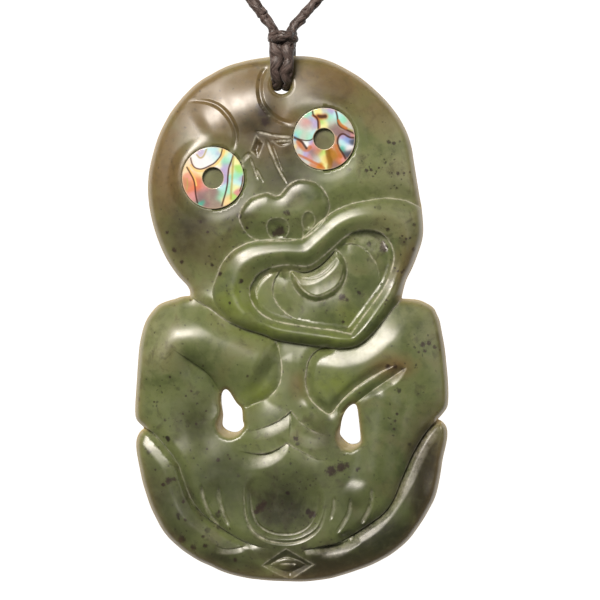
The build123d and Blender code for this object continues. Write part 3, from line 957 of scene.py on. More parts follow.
def carve_figure():
    """The jade figure: carved front, rounded rim and polished back, closed all round."""
    flecks = [Fleck(*fleck) for fleck in FLECKS]
    places, height, engraved, thin, faces, rims = sheet_of_stone(front_surface, FRONT_SPACING, CARVING + flecks, 11)
    back_places, back_height, unmarked, back_thin, back_faces, _ = sheet_of_stone(back_surface, BACK_SPACING, [], 12)
    points = [np.c_[places, height], np.c_[back_places, back_height]]
    # The thin mark carries the share of painted rim glow
    marks = {"engraved": [engraved, unmarked], "thin": [thin, back_thin]}
    offset = len(places)
    polygons = [faces.tolist(), (back_faces[:, ::-1] + offset).tolist()]
    total = offset + len(back_places)
    for first, count in rims:
        ring = np.arange(first, first + count)
        rows = [ring]
        for step in range(1, WALL_STEPS):
            share = step / WALL_STEPS
            points.append(np.c_[places[ring], height[ring] * (1 - share) + back_height[ring] * share])
            marks["engraved"].append(np.zeros(count))
            marks["thin"].append(np.full(count, WALL_THIN))
            rows.append(total + np.arange(count))
            total += count
        rows.append(ring + offset)
        for upper, lower in zip(rows, rows[1:]):
            polygons.append(np.c_[upper, np.roll(upper, -1), np.roll(lower, -1), lower].tolist())
    x, z, h = np.vstack(points).T
    world = np.c_[x, -(REACH + h), z - DROP] * MM
    marks = {key: np.concatenate(values) for key, values in marks.items()}
    marks.update(zone_marks(np.c_[x, z]))
    marks["fleck"] = fleck_marks(np.c_[x, z]) * (h > 0)
    return build_mesh("jade_figure", world, [face for group in polygons for face in group], marks)


# Soft zones of colour, by kind: place in the photograph, reach across and down, and strength. Some kinds paint light
# and shade, as said above each.
ZONES = {
    "olive": [
        (205, 100, 66, 54, 1.1), (165, 160, 34, 66, 1.0), (250, 90, 44, 44, 1.0), (330, 80, 66, 34, 0.9),
        (270, 130, 44, 38, 1.1), (370, 100, 44, 36, 0.6), (196, 238, 34, 34, 0.5), (410, 268, 18, 34, 0.6),
        (297, 384, 10, 14, 0.5), (434, 480, 24, 60, 0.8), (345, 575, 80, 18, 0.8), (395, 366, 24, 12, 0.8),
    ],
    # Dark: partly the stone's own dark patches, partly painted shade, darker towards the bottom and between the brows
    "dark": [
        (428, 490, 26, 66, 1.2), (392, 546, 56, 38, 1.2), (340, 568, 66, 26, 1.2), (172, 512, 40, 50, 0.75),
        (225, 560, 60, 24, 0.75), (285, 506, 42, 44, 1.0), (345, 500, 40, 44, 0.45), (264, 116, 14, 26, 0.9),
        (196, 425, 30, 36, 0.75), (225, 480, 44, 44, 0.65), (192, 232, 32, 40, 0.7), (288, 165, 44, 34, 0.7),
        (285, 552, 60, 20, 0.75), (200, 440, 26, 30, 0.6), (320, 100, 34, 22, 0.5), (250, 150, 20, 26, 0.6),
        (300, 480, 40, 20, 0.7), (230, 210, 30, 30, 0.5), (258, 132, 26, 30, 0.8), (330, 440, 24, 26, 0.5),
        (152, 490, 16, 60, 0.5),
    ],
    # Pale: partly the stone's own paler patches, partly painted light, lighter on the head and upper body where the
    # light from above falls
    "pale": [
        (400, 180, 40, 90, 0.55), (170, 262, 30, 40, 0.35), (160, 340, 30, 36, 0.6), (400, 215, 44, 30, 0.5),
        (420, 320, 30, 30, 0.5), (410, 440, 30, 50, 0.25), (330, 290, 50, 34, 0.25), (300, 205, 34, 30, 0.3),
        (230, 350, 40, 14, 0.3),
    ],
    # Brighter green: painted glow of light shining through the thinner parts of the stone
    "fresh": [
        (240, 300, 24, 20, 0.9), (258, 392, 22, 16, 0.7), (332, 382, 22, 20, 0.8), (240, 440, 22, 20, 0.5),
        (400, 560, 40, 20, 0.3), (325, 340, 60, 12, 0.6), (355, 318, 44, 20, 0.4), (190, 440, 40, 50, 0.3),
        (265, 330, 30, 10, 0.7),
    ],
    "specks": [
        (385, 170, 32, 22, 1.0), (425, 345, 20, 24, 0.9), (285, 222, 22, 20, 0.8), (230, 240, 40, 60, 0.5),
        (395, 250, 26, 40, 0.7), (170, 420, 34, 50, 0.7), (285, 500, 50, 50, 0.7), (405, 410, 24, 40, 0.6),
        (340, 300, 40, 30, 0.4), (300, 450, 40, 30, 0.7), (190, 530, 40, 40, 0.8), (345, 468, 26, 14, 0.9),
    ],
}


# Dark flecks in the stone: place in the photograph and reach, in pixels
FLECKS = [
    (220, 274, 2.4), (241, 281, 2.8), (230, 303, 1.5), (212, 265, 1.8), (229, 294, 1.2), (384, 248, 4.4),
    (383, 243, 2.6), (402, 236, 1.3), (406, 239, 1.2), (410, 238, 1.4), (404, 242, 1.0), (414, 249, 2.2),
    (398, 271, 1.5), (402, 272, 1.8), (395, 268, 1.2), (404, 270, 1.0), (391, 287, 1.3), (386, 300, 1.4),
    (385, 304, 1.0), (343, 322, 1.8), (342, 297, 3.4), (347, 300, 2.2), (280, 231, 5.2), (287, 213, 3.4),
    (275, 234, 3.0), (208, 232, 1.6), (247, 228, 1.6), (264, 223, 1.0), (414, 225, 2.0), (388, 230, 2.4),
    (397, 188, 1.3), (366, 171, 2.2), (371, 170, 1.8), (379, 168, 1.2), (375, 174, 1.2), (392, 173, 1.0),
    (398, 173, 2.0), (404, 173, 1.6), (410, 172, 1.2), (389, 142, 2.2), (394, 143, 2.0), (400, 141, 1.4),
    (423, 345, 3.0), (429, 343, 2.6), (425, 351, 2.2), (435, 347, 2.2), (440, 350, 1.4), (419, 352, 1.6),
    (262, 113, 4.0), (265, 122, 4.6), (259, 106, 3.2), (248, 376, 1.6), (296, 439, 2.4), (331, 471, 5.6),
    (341, 467, 5.0), (347, 465.5, 3.0), (388, 367, 3.0), (395, 367, 2.6), (403, 370, 2.0),
    (397, 414, 1.6), (395, 421, 1.8), (394, 429, 1.6), (391, 424, 1.2), (168, 481, 3.6), (163, 485, 2.0),
    (174, 479, 2.4), (260, 508, 4.8), (264, 504, 3.4), (256, 512, 3.0), (313, 514, 3.2), (310, 517, 2.0),
    (218, 460, 2.2), (230, 459, 1.2), (219, 512, 1.6), (183, 502, 1.8), (185, 520, 1.8), (203, 537, 2.0),
    (193, 548, 3.4), (182, 540, 4.2), (205, 546, 2.6), (235, 560, 2.2), (155, 470, 1.2), (196, 424, 1.3),
    (206, 411, 1.2), (207, 449, 1.4), (160, 386, 1.0), (170, 377, 1.2), (203, 366, 1.2), (154, 402, 1.0),
    (165, 420, 1.6), (183, 414, 1.4), (191, 391, 1.6), (186, 396, 1.1), (228, 455, 1.0), (240, 330, 1.0),
    (174, 250, 2.6), (167, 232, 2.0), (182, 262, 2.2), (209, 256, 1.4), (201, 222, 1.8), (190, 300, 1.3),
]


class Fleck(Cut):
    """A dark speck in the stone, which only the mesh's points have to follow."""

    def __init__(self, px, py, reach):
        self.middle = spot([(px, py)])[0]
        self.reach = reach / PX_PER_MM

    def seeds(self, spacing):
        ring = self.reach * circle(around(7) + self.middle[0])
        return np.vstack([self.middle, self.middle + ring * 0.7, self.middle + ring * 1.3])


def fleck_marks(spots):
    """How strongly each spot is darkened by a fleck."""
    mark = np.zeros(len(spots))
    for px, py, reach in FLECKS:
        off = spots - spot([(px, py)])[0]
        near = np.abs(off).max(1) < 3 * reach / PX_PER_MM
        far = np.hypot(*off[near].T) * PX_PER_MM / reach
        mark[near] = np.maximum(mark[near], np.clip(1.5 - far, 0, 1))
    return mark


def zone_marks(spots):
    """How strongly each spot belongs to each kind of zone."""
    marks = {kind: np.zeros(len(spots)) for kind in ZONES}
    for kind, zones in ZONES.items():
        for px, py, wide, tall, strength in zones:
            x, z = ((spots - spot([(px, py)])[0]) * PX_PER_MM / (wide, tall)).T
            marks[kind] = np.maximum(marks[kind], strength * np.exp(-(x**2 + z**2)))
    return marks


# The stone's colours, from its darkest clouds to its palest
STONE_CLOUDS = [
    (0.28, (0.044, 0.060, 0.017)), (0.42, (0.090, 0.114, 0.038)), (0.56, (0.135, 0.162, 0.060)),
    (0.72, (0.200, 0.218, 0.098)),
]
# Zones in the order that they are laid on: how much the mottling moves their edges, where they start and are
# full, and their strength and colour
ZONE_LAYERS = [
    ("pale", 1.0, 0.1, 0.9, 0.6, (0.27, 0.27, 0.15)), ("olive", 0.7, 0.05, 0.85, 0.85, (0.145, 0.088, 0.034)),
    ("fresh", 1.0, 0.15, 0.9, 0.75, (0.135, 0.178, 0.020)), ("dark", 1.0, 0.1, 0.95, 0.85, (0.009, 0.009, 0.0035)),
]
PALE_GRAIN = (0.14, 0.15, 0.085)
DARK_GRAIN = (0.020, 0.024, 0.008)
STAIN = (0.030, 0.024, 0.012)
MOTE = (0.012, 0.006, 0.004)
DUST = (0.018, 0.013, 0.008)
FLECK = (0.020, 0.009, 0.006)
# The painted glow of backlight through the thin rim: in the base colour, and as a weak emission
PAINTED_RIM_GLOW = (0.48, 0.36, 0.18)
THIN_GLOW = (0.78, 0.55, 0.26)
CUT_STONE = (0.60, 0.58, 0.47)
BLACK = (0.0, 0.0, 0.0)


def jade():
    """Polished jade: clouded and mottled green, with zones that hold some painted light and shade, flecks, pale cuts
    and a painted glow on the thin rim.
    """
    finish = Finish(
        "polished_jade", IOR=1.6, Subsurface_Weight=0.25, Subsurface_Radius=(0.9, 1.0, 0.5), Subsurface_Scale=0.0012,
        Specular_IOR_Level=0.55, Emission_Strength=0.16
    )
    place = finish.place()
    engraved, thin, specks, fleck = [finish.mark(name) for name in ("engraved", "thin", "specks", "fleck")]
    cloud = finish.noise(place, 70.0, 4.0, 0.55, 0.6)
    mottle = finish.noise(place, 210.0, 4.0, 0.62, 0.5)
    fine = finish.noise(place, 600.0, 4.0, 0.65, 0.3)
    colour = finish.node("ValToRGB", {"stops": STONE_CLOUDS}, cloud * 0.6 + mottle * 0.4)
    drift = finish.span(mottle, 0.3, 0.7, -0.3, 0.3)
    # The zones lay on the stone's own colours and also on painted light, shade and glow
    for kind, share, start, full, strength, tint in ZONE_LAYERS:
        colour = finish.blend(finish.span(finish.mark(kind) + drift * share, start, full) * strength, colour, tint)
    colour = finish.blend(finish.span(fine, 0.5, 0.75) * 0.22, colour, PALE_GRAIN)
    colour = finish.blend(finish.span(fine, 0.48, 0.30) * 0.30, colour, DARK_GRAIN)
    sway = finish.noise(place, 900.0, 2.0, 0.5, 0.0, "Color")
    sway = finish.node("VectorMath", {"operation": "SCALE"}, sway, Scale=0.0009)
    wander = finish.node("VectorMath", {"operation": "ADD"}, place, sway)

    def grains(scale, channel, more, edge, rare):
        """Scattered dark grains, with more of them in the speckled zones."""
        far, lots = [
            finish.node("TexVoronoi", {"feature": "F1"}, Vector=wander, Scale=scale, out=out)
            for out in ("Distance", "Color")
        ]
        chance = finish.node("SeparateColor", {}, lots, out=channel) + specks * more
        return finish.span(far, *edge) * finish.span(chance, *rare)

    motes = grains(620.0, "Red", 0.24, (0.34, 0.20), (0.97, 1.08))
    dust = grains(1900.0, "Green", 0.16, (0.40, 0.25), (0.94, 1.0))
    stain = finish.noise(place, 420.0, 4.0, 0.65, 0.5)
    colour = finish.blend(finish.span(stain + specks * 0.10, 0.60, 0.72) * 0.45, colour, STAIN)
    colour = finish.blend(motes * 0.92, colour, MOTE)
    ragged = finish.noise(place, 2100.0, 3.0, 0.75)
    colour = finish.blend(finish.span(fleck + (ragged - 0.5) * 1.9, 0.30, 0.85) * 0.9, colour, FLECK)
    colour = finish.blend(dust * 0.7, colour, DUST)
    # Painted glow on the thin rim, lighter in the base colour
    colour = finish.blend(thin * 0.7, colour, PAINTED_RIM_GLOW)
    broken = finish.noise(place, 800.0, 4.0, 0.75)
    frost = engraved * finish.span(broken, 0.40, 0.60, 0.12, 1.0)
    colour = finish.blend(frost * 0.7, colour, CUT_STONE)
    wear = finish.noise(place, 700.0, 3.0, 0.6)
    scratches = finish.noise(place, 2600.0, 2.0, 0.6)
    finish.feed(
        Base_Color=colour,
        # Painted glow on the thin rim, given off as emission
        Emission_Color=finish.blend(thin, BLACK, THIN_GLOW),
        Roughness=finish.span(wear, 0.3, 0.7, 0.29, 0.37) + engraved * 0.25 + thin * 0.2,
        Normal=finish.bump(wear * 0.6 + scratches * 0.4 - frost * 0.5, 0.10, 0.00006),
    )
    return finish.material


def dress(piece, material, node):
    """Gives a piece its material, hangs it on the body and hides the solid it stands for."""
    piece.data.materials.append(material)
    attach(piece, BODY)
    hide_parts(node)


# The cord's way, from the hole's centre: x, height in front of the middle plane, and z
RIGHT_HITCH = [
    (3.6, 5.82, 11.1), (1.0, 5.82, 8.3), (0.76, 5.82, 0), (0.76, -4.82, 0), (2.3, -4.82, 5.8), (2.95, 0.8, 6.9),
    (2.5, 7.46, 7.8),
]
LEFT_HITCH = [
    (-2.95, 5.82, 11.1), (-0.85, 5.82, 8.3), (-0.76, 5.82, 0), (-0.76, -4.82, 0), (-2.3, -4.82, 5.8),
    (-2.55, 0.8, 6.9), (-2.1, 7.46, 7.5),
]
ARM_LEAD = 22.0
# Round the neck to the nape, in the whole pendant's millimetres
NAPE_WAY = [(35, -121.5, -71), (53, -98, -44), (62, -67, -23), (56, -34, -9), (35, -10.5, -2), (14, 0, 0), (3.5, 0, 0)]


def arm_way(hitch, side):
    join, corner = at(*hitch[0]), at(*hitch[1])
    lead = join + (join - corner).normalized() * ARM_LEAD * MM
    return [join, lead] + [Vector((x * side, y, z)) * MM for x, y, z in NAPE_WAY]


def spline_points(way, steps=24):
    """Points read along a smooth spline through the middles of the way's pieces, from its start to its end."""
    curve = bpy.data.curves.new("way", "CURVE")
    curve.dimensions = "3D"
    spline = curve.splines.new("NURBS")
    spline.points.add(len(way) - 1)
    for point, place in zip(spline.points, way):
        point.co = (*place, 1)
    spline.order_u = 3
    spline.use_endpoint_u = True
    spline.resolution_u = steps
    holder = bpy.data.objects.new("way", curve)
    bpy.context.scene.collection.objects.link(holder)
    bpy.context.view_layer.update()
    mesh = bpy.data.meshes.new_from_object(holder.evaluated_get(bpy.context.evaluated_depsgraph_get()))
    line = np.array([tuple(vertex.co) for vertex in mesh.vertices])
    bpy.data.objects.remove(holder)
    bpy.data.curves.remove(curve)
    bpy.data.meshes.remove(mesh)
    return line


def run_along(line):
    """How far along the line each of its points is."""
    return np.r_[0, np.cumsum(np.linalg.norm(np.diff(line, axis=0), axis=1))]


def resample(line, spacing):
    run = run_along(line)
    wanted = np.linspace(0, run[-1], max(2, int(run[-1] / spacing) + 1))
    return np.stack([np.interp(wanted, run, line[:, axis]) for axis in range(3)], 1)


def unit(vectors):
    return vectors / np.linalg.norm(vectors, axis=1)[:, None]


def frames(line):
    """The directions along a line and two across it, carried from point to point without twisting."""
    along = unit(np.gradient(line, axis=0))
    across = np.zeros_like(line)
    start = np.cross(along[0], (0, 1, 0))
    across[0] = start / np.linalg.norm(start)
    for i in range(1, len(line)):
        step = across[i - 1] - along[i] * (across[i - 1] @ along[i])
        across[i] = step / np.linalg.norm(step)
    return along, across, np.cross(along, across)


STRANDS = 4
PLAIT_PITCH = 8.4
STRAND_SIDES = 14
# In shares of the cord's radius: how far out a strand runs, how much it dips under the next one, its half
# width and half thickness, and the core's radius
STRAND_OUT, STRAND_DIP, STRAND_WIDE, STRAND_THICK, CORE = 0.52, 0.11, 0.65, 0.44, 0.46
# The fine ridges of a strand's yarns: how many, how deep, and their twist along it
YARNS, YARN_DEPTH, YARN_TWIST = 6, 0.075, 0.9
# Below this height the hitch's arms are pinched in beyond a half width, by a share that differs by side
PINCH_TOP, PINCH_EASE, PINCH_HALF = 10.2, 1.6, 1.75
PINCH_RIGHT, PINCH_LEFT = 0.5, 0.72


def shaped(rings, line, squash, spread):
    """The hitch's strands made wider or narrower sideways, moved out, and pinched in under the arms."""
    middle = line[:, None, 0]
    rings[..., 0] = middle * spread[:, None] + (rings[..., 0] - middle) * squash[:, None]
    low = swell((PINCH_TOP - rings[..., 2] / MM - DROP) / PINCH_EASE)
    beyond = np.maximum(abs(rings[..., 0]) - PINCH_HALF * MM, 0) * low
    rings[..., 0] -= np.sign(rings[..., 0]) * beyond * np.where(rings[..., 0] > 0, PINCH_RIGHT, PINCH_LEFT)
    return rings


def plait(line, girth, phase=0.0, shape=None):
    """A round plait of strands along a line in metres: points and faces of the strands and of their core.

    girth is the cord's radius in millimetres at each point, and shape is the hitch's squash and spread. The
    small sines make it uneven, as a hand-plaited cord is."""
    _, across, up = frames(line)
    run = run_along(line) / MM + phase
    turn = 2 * math.pi * run / PLAIT_PITCH
    size = (girth * MM)[:, None]
    sides = around(STRAND_SIDES)
    tubes = []
    for strand in range(STRANDS):
        hand = 1 if strand % 2 else -1
        angle = hand * turn + strand * math.pi / 2 + 0.12 * np.sin(run * 1.7 + strand * 2.1)
        radial = across * np.cos(angle)[:, None] + up * np.sin(angle)[:, None]
        away = size * (STRAND_OUT + STRAND_DIP * hand * np.cos(2 * turn + 0.3 * np.sin(run * 0.9)))[:, None]
        wide = size * (STRAND_WIDE + 0.05 * np.sin(run * 2.3 + strand * 1.7))[:, None]
        tubes.append((line + radial * away, radial, wide, size * STRAND_THICK, YARN_DEPTH, YARN_TWIST * hand))
    tubes.append((line, up, size * CORE, size * CORE, 0.0, 0.0))
    points, faces, grain, total = [], [], [], 0
    for centre, radial, wide, thick, deep, twist in tubes:
        way = unit(np.gradient(centre, axis=0))
        side = unit(np.cross(way, radial))
        out = np.cross(side, way)
        rings = []
        for turn_at in sides:
            ridge = 1 + deep * np.cos(YARNS * turn_at + twist * run)[:, None]
            rings.append(centre + (side * wide * math.cos(turn_at) + out * thick * math.sin(turn_at)) * ridge)
        rings = np.stack(rings, 1)
        if shape:
            rings = shaped(rings, line, *shape)
        count = len(line)
        points.append(rings.reshape(-1, 3))
        yarn = np.zeros((count, STRAND_SIDES, 3)) + 7.0 * len(grain)
        yarn[..., :2] += circle(sides)
        yarn[..., 2] += 0.35 * run[:, None]
        grain.append(yarn.reshape(-1, 3))
        index = total + np.arange(count * STRAND_SIDES).reshape(count, STRAND_SIDES)
        after = np.roll(index, -1, axis=1)
        faces += np.stack([index[:-1], after[:-1], after[1:], index[1:]], -1).reshape(-1, 4).tolist()
        faces += [index[0, ::-1].tolist(), index[-1].tolist()]
        total += count * STRAND_SIDES
    return np.vstack(points), faces, np.vstack(grain)


def hitch_shape(line):
    """The hitch's radius, squash and spread: full on the front, squeezed in the hole and under the bar."""
    z = line[:, 2] / MM + DROP
    height = -line[:, 1] / MM - REACH
    front = swell((height - 4.6) / 1.0) * (1 - swell((height - 6.3) / 0.5))
    full = front * swell((z + 0.8) / 2.5)
    bar = swell((height - 6.4) / 0.6)
    back = 1 - swell((height + 3.0) / 3.0)
    loop = swell((height + 4.0) / 3.0) * swell((z - 4.6) / 1.2) * (1 - front)
    narrow = 0.84
    girth = narrow + (CORD_WIDTH / 2 + 0.02 - narrow) * full + 0.02 * bar - 0.14 * back - 0.12 * loop * (1 - bar)
    squash = 1.14 + 0.36 * full - 0.14 * np.maximum(loop, back)
    spread = 1 + 0.08 * full - 0.17 * np.maximum(loop, bar)
    # Both ends take the plain cord's form, so that they meet the arms.
    order = np.arange(len(line))
    inner = swell(np.minimum(order, order[::-1]) / 12)
    return girth + (CORD_WIDTH / 2 - girth) * (1 - inner), 1 + (squash - 1) * inner, 1 + (spread - 1) * inner


# The cord's colours: its dark body, its rubbed parts, a painted highlight on the raised fibres and painted shade in the
# hollows between them
CORD_DARK = (0.026, 0.017, 0.014)
CORD_WORN = (0.085, 0.058, 0.050)
FIBRE_HIGHLIGHT = (0.20, 0.150, 0.135)
FIBRE_GAP_SHADE = (0.012, 0.008, 0.007)


def waxed_cord():
    finish = Finish("waxed_cotton", Specular_IOR_Level=0.45, Sheen_Weight=0.15, Sheen_Roughness=0.4)
    place = finish.place()
    grain = finish.node("Attribute", {"attribute_name": "grain"}, out="Vector")
    fibre = finish.noise(grain, 3.4, 3.0, 0.7)
    wear = finish.noise(place, 420.0, 3.0, 0.55)
    fuzz = finish.noise(place, 3000.0, 2.0, 0.6)
    colour = finish.blend(finish.span(wear, 0.35, 0.7), CORD_DARK, CORD_WORN)
    # Painted highlight on the fibres that the bump raises, and painted shade in the bump's hollows between them
    colour = finish.blend(finish.span(fibre, 0.48, 0.68) * 0.75, colour, FIBRE_HIGHLIGHT)
    colour = finish.blend(finish.span(fibre, 0.45, 0.30) * 0.7, colour, FIBRE_GAP_SHADE)
    finish.feed(
        Base_Color=colour,
        Roughness=finish.span(wear, 0.3, 0.7, 0.34, 0.52),
        Normal=finish.bump(fibre * 0.8 + fuzz * 0.2, 0.8, 0.00012),
    )
    return finish.material


ARM_SPACING = 0.42
HITCH_SPACING = 0.2
KNOT_TURNS = 3.4
KNOT_HALF = 2.9
KNOT_RADIUS = 1.75
KNOT_CORE_HALF = 3.6


def string_the_cord():
    """The whole cord as one run of strands: left arm, hitch, right arm, and the knot at the nape."""
    cotton = waxed_cord()
    left = spline_points(arm_way(LEFT_HITCH, -1))[::-1]
    hitch = spline_points([at(*p) for p in LEFT_HITCH] + [at(*p) for p in RIGHT_HITCH[::-1]], 20)
    right = spline_points(arm_way(RIGHT_HITCH, 1))
    done = 0.0
    for name, line, node in (("left_arm", left, "left_cord"), ("hitch_loop", hitch, "hitch"),
                             ("right_arm", right, "right_cord")):
        if node == "hitch":
            line = resample(line, HITCH_SPACING * MM)
            girth, *shape = hitch_shape(line)
        else:
            line = resample(line, ARM_SPACING * MM)
            girth, shape = np.full(len(line), CORD_WIDTH / 2), None
        points, faces, grain = plait(line, girth, done, shape)
        done += run_along(line)[-1] / MM
        dress(build_mesh(name, points, faces, {"grain": grain}), cotton, node)
    turn = np.linspace(0, 2 * math.pi * KNOT_TURNS, 300)
    coil = np.c_[np.linspace(-KNOT_HALF, KNOT_HALF, 300), KNOT_RADIUS * circle(turn)] * MM
    coil = resample(coil, 0.3 * MM)
    points, faces, grain = plait(coil, np.full(len(coil), CORD_WIDTH / 2), 1.0)
    core = np.c_[np.linspace(-KNOT_CORE_HALF, KNOT_CORE_HALF, 40), np.zeros(40), np.zeros(40)] * MM
    more, more_faces, more_grain = plait(core, np.full(40, CORD_WIDTH / 2), done)
    faces += [[i + len(points) for i in face] for face in more_faces]
    grain = {"grain": np.vstack([grain, more_grain])}
    dress(build_mesh("barrel_knot", np.vstack([points, more]), faces, grain), cotton, "nape_knot")


# The shell rings: soft clouds of each tint, as place in the photograph and reach, and growth lines, as tint,
# width and way
SHELL_TINTS = {
    "white": (0.93, 0.94, 0.98), "ice": (0.62, 0.88, 0.94), "mint": (0.46, 0.84, 0.66), "sea": (0.16, 0.56, 0.46),
    "lilac": (0.58, 0.52, 0.76), "rose": (0.76, 0.44, 0.44), "lemon": (0.92, 0.92, 0.52), "leaf": (0.55, 0.80, 0.30),
    "salmon": (0.78, 0.33, 0.20), "cream": (0.96, 0.74, 0.46), "ochre": (0.55, 0.30, 0.08), "slate": (0.17, 0.18, 0.22),
    "mauve": (0.40, 0.30, 0.31), "stone": (0.46, 0.41, 0.36), "sky": (0.38, 0.52, 0.84), "pearl": (0.66, 0.68, 0.66),
    "peach": (0.90, 0.50, 0.28), "tan": (0.66, 0.40, 0.28), "gold": (0.70, 0.38, 0.10),
}
LEFT_CLOUDS = {
    "white": [(196, 162, 5), (202, 165, 5), (209, 160, 5)],
    "ice": [(212, 152, 4), (217, 158, 3), (223.5, 188, 2.6), (230, 157, 2), (237, 182, 2.6)],
    "lilac": [
        (217.5, 153.5, 1.6), (201.5, 153.5, 2.2), (223, 182, 2.4), (227, 166.5, 2.5), (225.5, 171, 2.2),
        (241.5, 179, 1.8),
    ],
    "cream": [(188.5, 165, 3), (195, 172, 3), (227, 199, 2.4)],
    "lemon": [
        (201.5, 173.5, 2.5), (223.5, 153, 2.6), (219, 163, 2), (230.5, 170, 2), (235, 160, 2.4), (234.5, 187, 2.2),
    ],
    "peach": [(194, 177.5, 3)],
    "salmon": [(197.5, 183, 3.2), (197, 188, 2.4), (192, 189, 2)],
    "rose": [(203.5, 187, 3), (190.5, 177.5, 1.8), (193, 195, 2.4), (238.5, 193, 2)],
    "tan": [(188.5, 186, 3)],
    "mauve": [(203, 193, 3.5), (201, 198, 2.4), (215, 194, 3), (207, 203, 2.4)],
    "stone": [(210, 197, 4), (214, 203, 3)],
    "mint": [(221, 195, 3.2), (226, 160, 3), (229.5, 188, 2.4), (237, 176, 3)],
    "sea": [(202, 203, 1.8)],
    "leaf": [(239.5, 170, 2.2), (233, 198, 2)],
}
LEFT_VEINS = [
    ("gold", 2.4, [(191.5, 165.5), (194.8, 170), (200, 171.5), (205.5, 170.3), (210.5, 167.6), (215.8, 164.8),
                   (220, 160), (223, 155.6), (224.4, 150)]),
    ("dark", 1.3, [(190.7, 158), (192, 164), (194.8, 168), (200, 169.6), (204.8, 168.4), (209.6, 166), (214.4, 163.6),
                   (218.4, 159.2), (221.2, 155.2), (222.4, 149)]),
    ("dark", 1.5, [(234, 153.5), (231.2, 162), (228.8, 168), (228, 176), (227.6, 184), (226, 192), (223.6, 200),
                   (222, 206)]),
    ("olive", 1.9, [(233.8, 158), (232.8, 166), (232.4, 176), (232, 184), (231.2, 190), (231.1, 199)]),
    ("gold", 1.6, [(188.6, 168), (191.8, 173), (195, 179), (196.4, 185.5)]),
    ("dark", 1.4, [(187, 167.5), (190.8, 174), (194, 180), (195.2, 186), (195.6, 194), (197.6, 203)]),
    ("olive", 1.5, [(197, 155), (199.6, 158.4), (202.8, 157.6), (205, 154), (206.6, 149.5)]),
    ("dark", 1.2, [(243.2, 176), (242.2, 184), (240, 191)]),
    ("olive", 0.9, [(187.2, 178), (187.8, 184), (186.8, 190)]),
]
RIGHT_CLOUDS = {
    "mint": [(309.5, 115.5, 2.6), (308.5, 136, 2.6), (299, 134, 2.6), (329, 118.5, 2.8), (342, 120, 2.6)],
    "rose": [
        (306, 124, 2.8), (352, 135.4, 1.6), (342.2, 158.5, 1.7), (298.5, 146.5, 2), (313, 147, 2.2),
        (309.5, 157.5, 1.8),
    ],
    "lilac": [
        (315.5, 124, 2.4), (311, 119, 2), (331, 110.6, 2.2), (343.3, 137.2, 2), (311, 143, 1.6), (306.8, 154.2, 2.2),
    ],
    "pearl": [
        (301, 126.5, 3.4), (309, 128, 3), (304, 135.5, 3), (324.5, 110.4, 2.2), (331.5, 122, 2.6),
        (347.5, 124.8, 2.8), (295.5, 142.5, 1.8), (299.5, 151, 2.4), (316.5, 158, 2.6), (306, 165, 2.4),
    ],
    "ice": [(312, 133.5, 2.4), (335, 116, 2.4), (339.4, 115.5, 1.8), (340.3, 142.6, 2), (343.6, 145.2, 2)],
    "sky": [(295.5, 136.5, 2), (347, 140.6, 2.6)],
    "lemon": [
        (316.3, 112, 2), (319, 111.4, 1.6), (322.5, 127.5, 2.4), (326, 122, 2), (343.3, 126.3, 1.6),
        (295, 147.5, 1.6), (324.6, 158.5, 2.6), (326, 165.5, 2),
    ],
    "leaf": [(321.5, 122.5, 2), (322.5, 153.5, 2.2)],
    "stone": [(331.5, 127, 2.6)],
    "mauve": [(333.5, 131, 2.4), (340, 130.4, 2.6), (346, 133.2, 2.4), (313, 154, 2.6), (334.5, 164.5, 2.6)],
    "tan": [(335.6, 139, 1.8), (335.8, 146, 2.2), (339, 153, 1.9), (318, 151.5, 2.4), (313, 166.5, 2)],
    "white": [(347.5, 147, 2.2), (306.5, 143, 1.6)],
    "sea": [(342.8, 149.2, 1.8)],
    "slate": [(347.2, 153, 2.4), (352, 142, 1.6)],
    "ochre": [(332, 154.5, 3.2), (334, 159.5, 3.2)],
    "gold": [(328, 160, 2.6), (320.5, 167.5, 1.8)],
    "salmon": [(338.3, 160, 2)],
}
RIGHT_VEINS = [
    ("rust", 5.6, [(317.6, 116.8), (321.6, 117.4), (325.2, 116.6)]),
    ("dark", 3.2, [(318.4, 116.6), (322, 117), (325.2, 116.6)]),
    ("rust", 2.4, [(313, 115.8), (316.5, 117.6), (319, 121), (319.2, 126), (319.2, 130)]),
    ("dark", 1.6, [(312.3, 110.8), (313.2, 115.7), (316.3, 117.4), (318, 121), (318, 125.3), (318.4, 131)]),
    ("olive", 2.0, [(338.4, 121), (339.6, 124.6), (343.3, 127), (348.5, 129.6), (352, 131)]),
    ("dark", 1.7, [(335.4, 110.2), (337.2, 115.7), (337.6, 120), (338, 124.4), (341, 127.6), (345.5, 129.6),
                   (349.8, 131.5), (354, 133.8)]),
    ("dark", 1.8, [(354.6, 138), (350, 137.8), (347, 136.2), (344.6, 134.4), (341.8, 134), (339, 136), (337.3, 140),
                   (337.7, 145.3), (339.8, 149.6), (342.4, 153), (345.4, 158.8)]),
    ("rust", 3.8, [(298, 142), (301.4, 146.6), (304, 149.8), (307.4, 150.4), (309.8, 147.6)]),
    ("dark", 2.2, [(292.6, 137), (297.7, 139.3), (301.6, 141.6), (304.2, 145.3), (306.4, 148.4)]),
    ("dark", 1.1, [(298, 139), (305, 140.9), (310.3, 140.5), (312.9, 139.2), (313.7, 135.3), (316.6, 131)]),
    ("rust", 2.3, [(298.6, 155.2), (305, 157.9), (309.4, 160.5), (314.6, 163), (319.8, 165.3), (324, 168.4)]),
    ("brown", 4.4, [(327.5, 151.6), (328.5, 157), (330.5, 161.3), (329.4, 168)]),
    ("rust", 2.6, [(338.4, 121), (341, 125.4), (346, 128.4)]), ("rust", 3.0, [(336, 146), (337.6, 152), (341, 157)]),
]
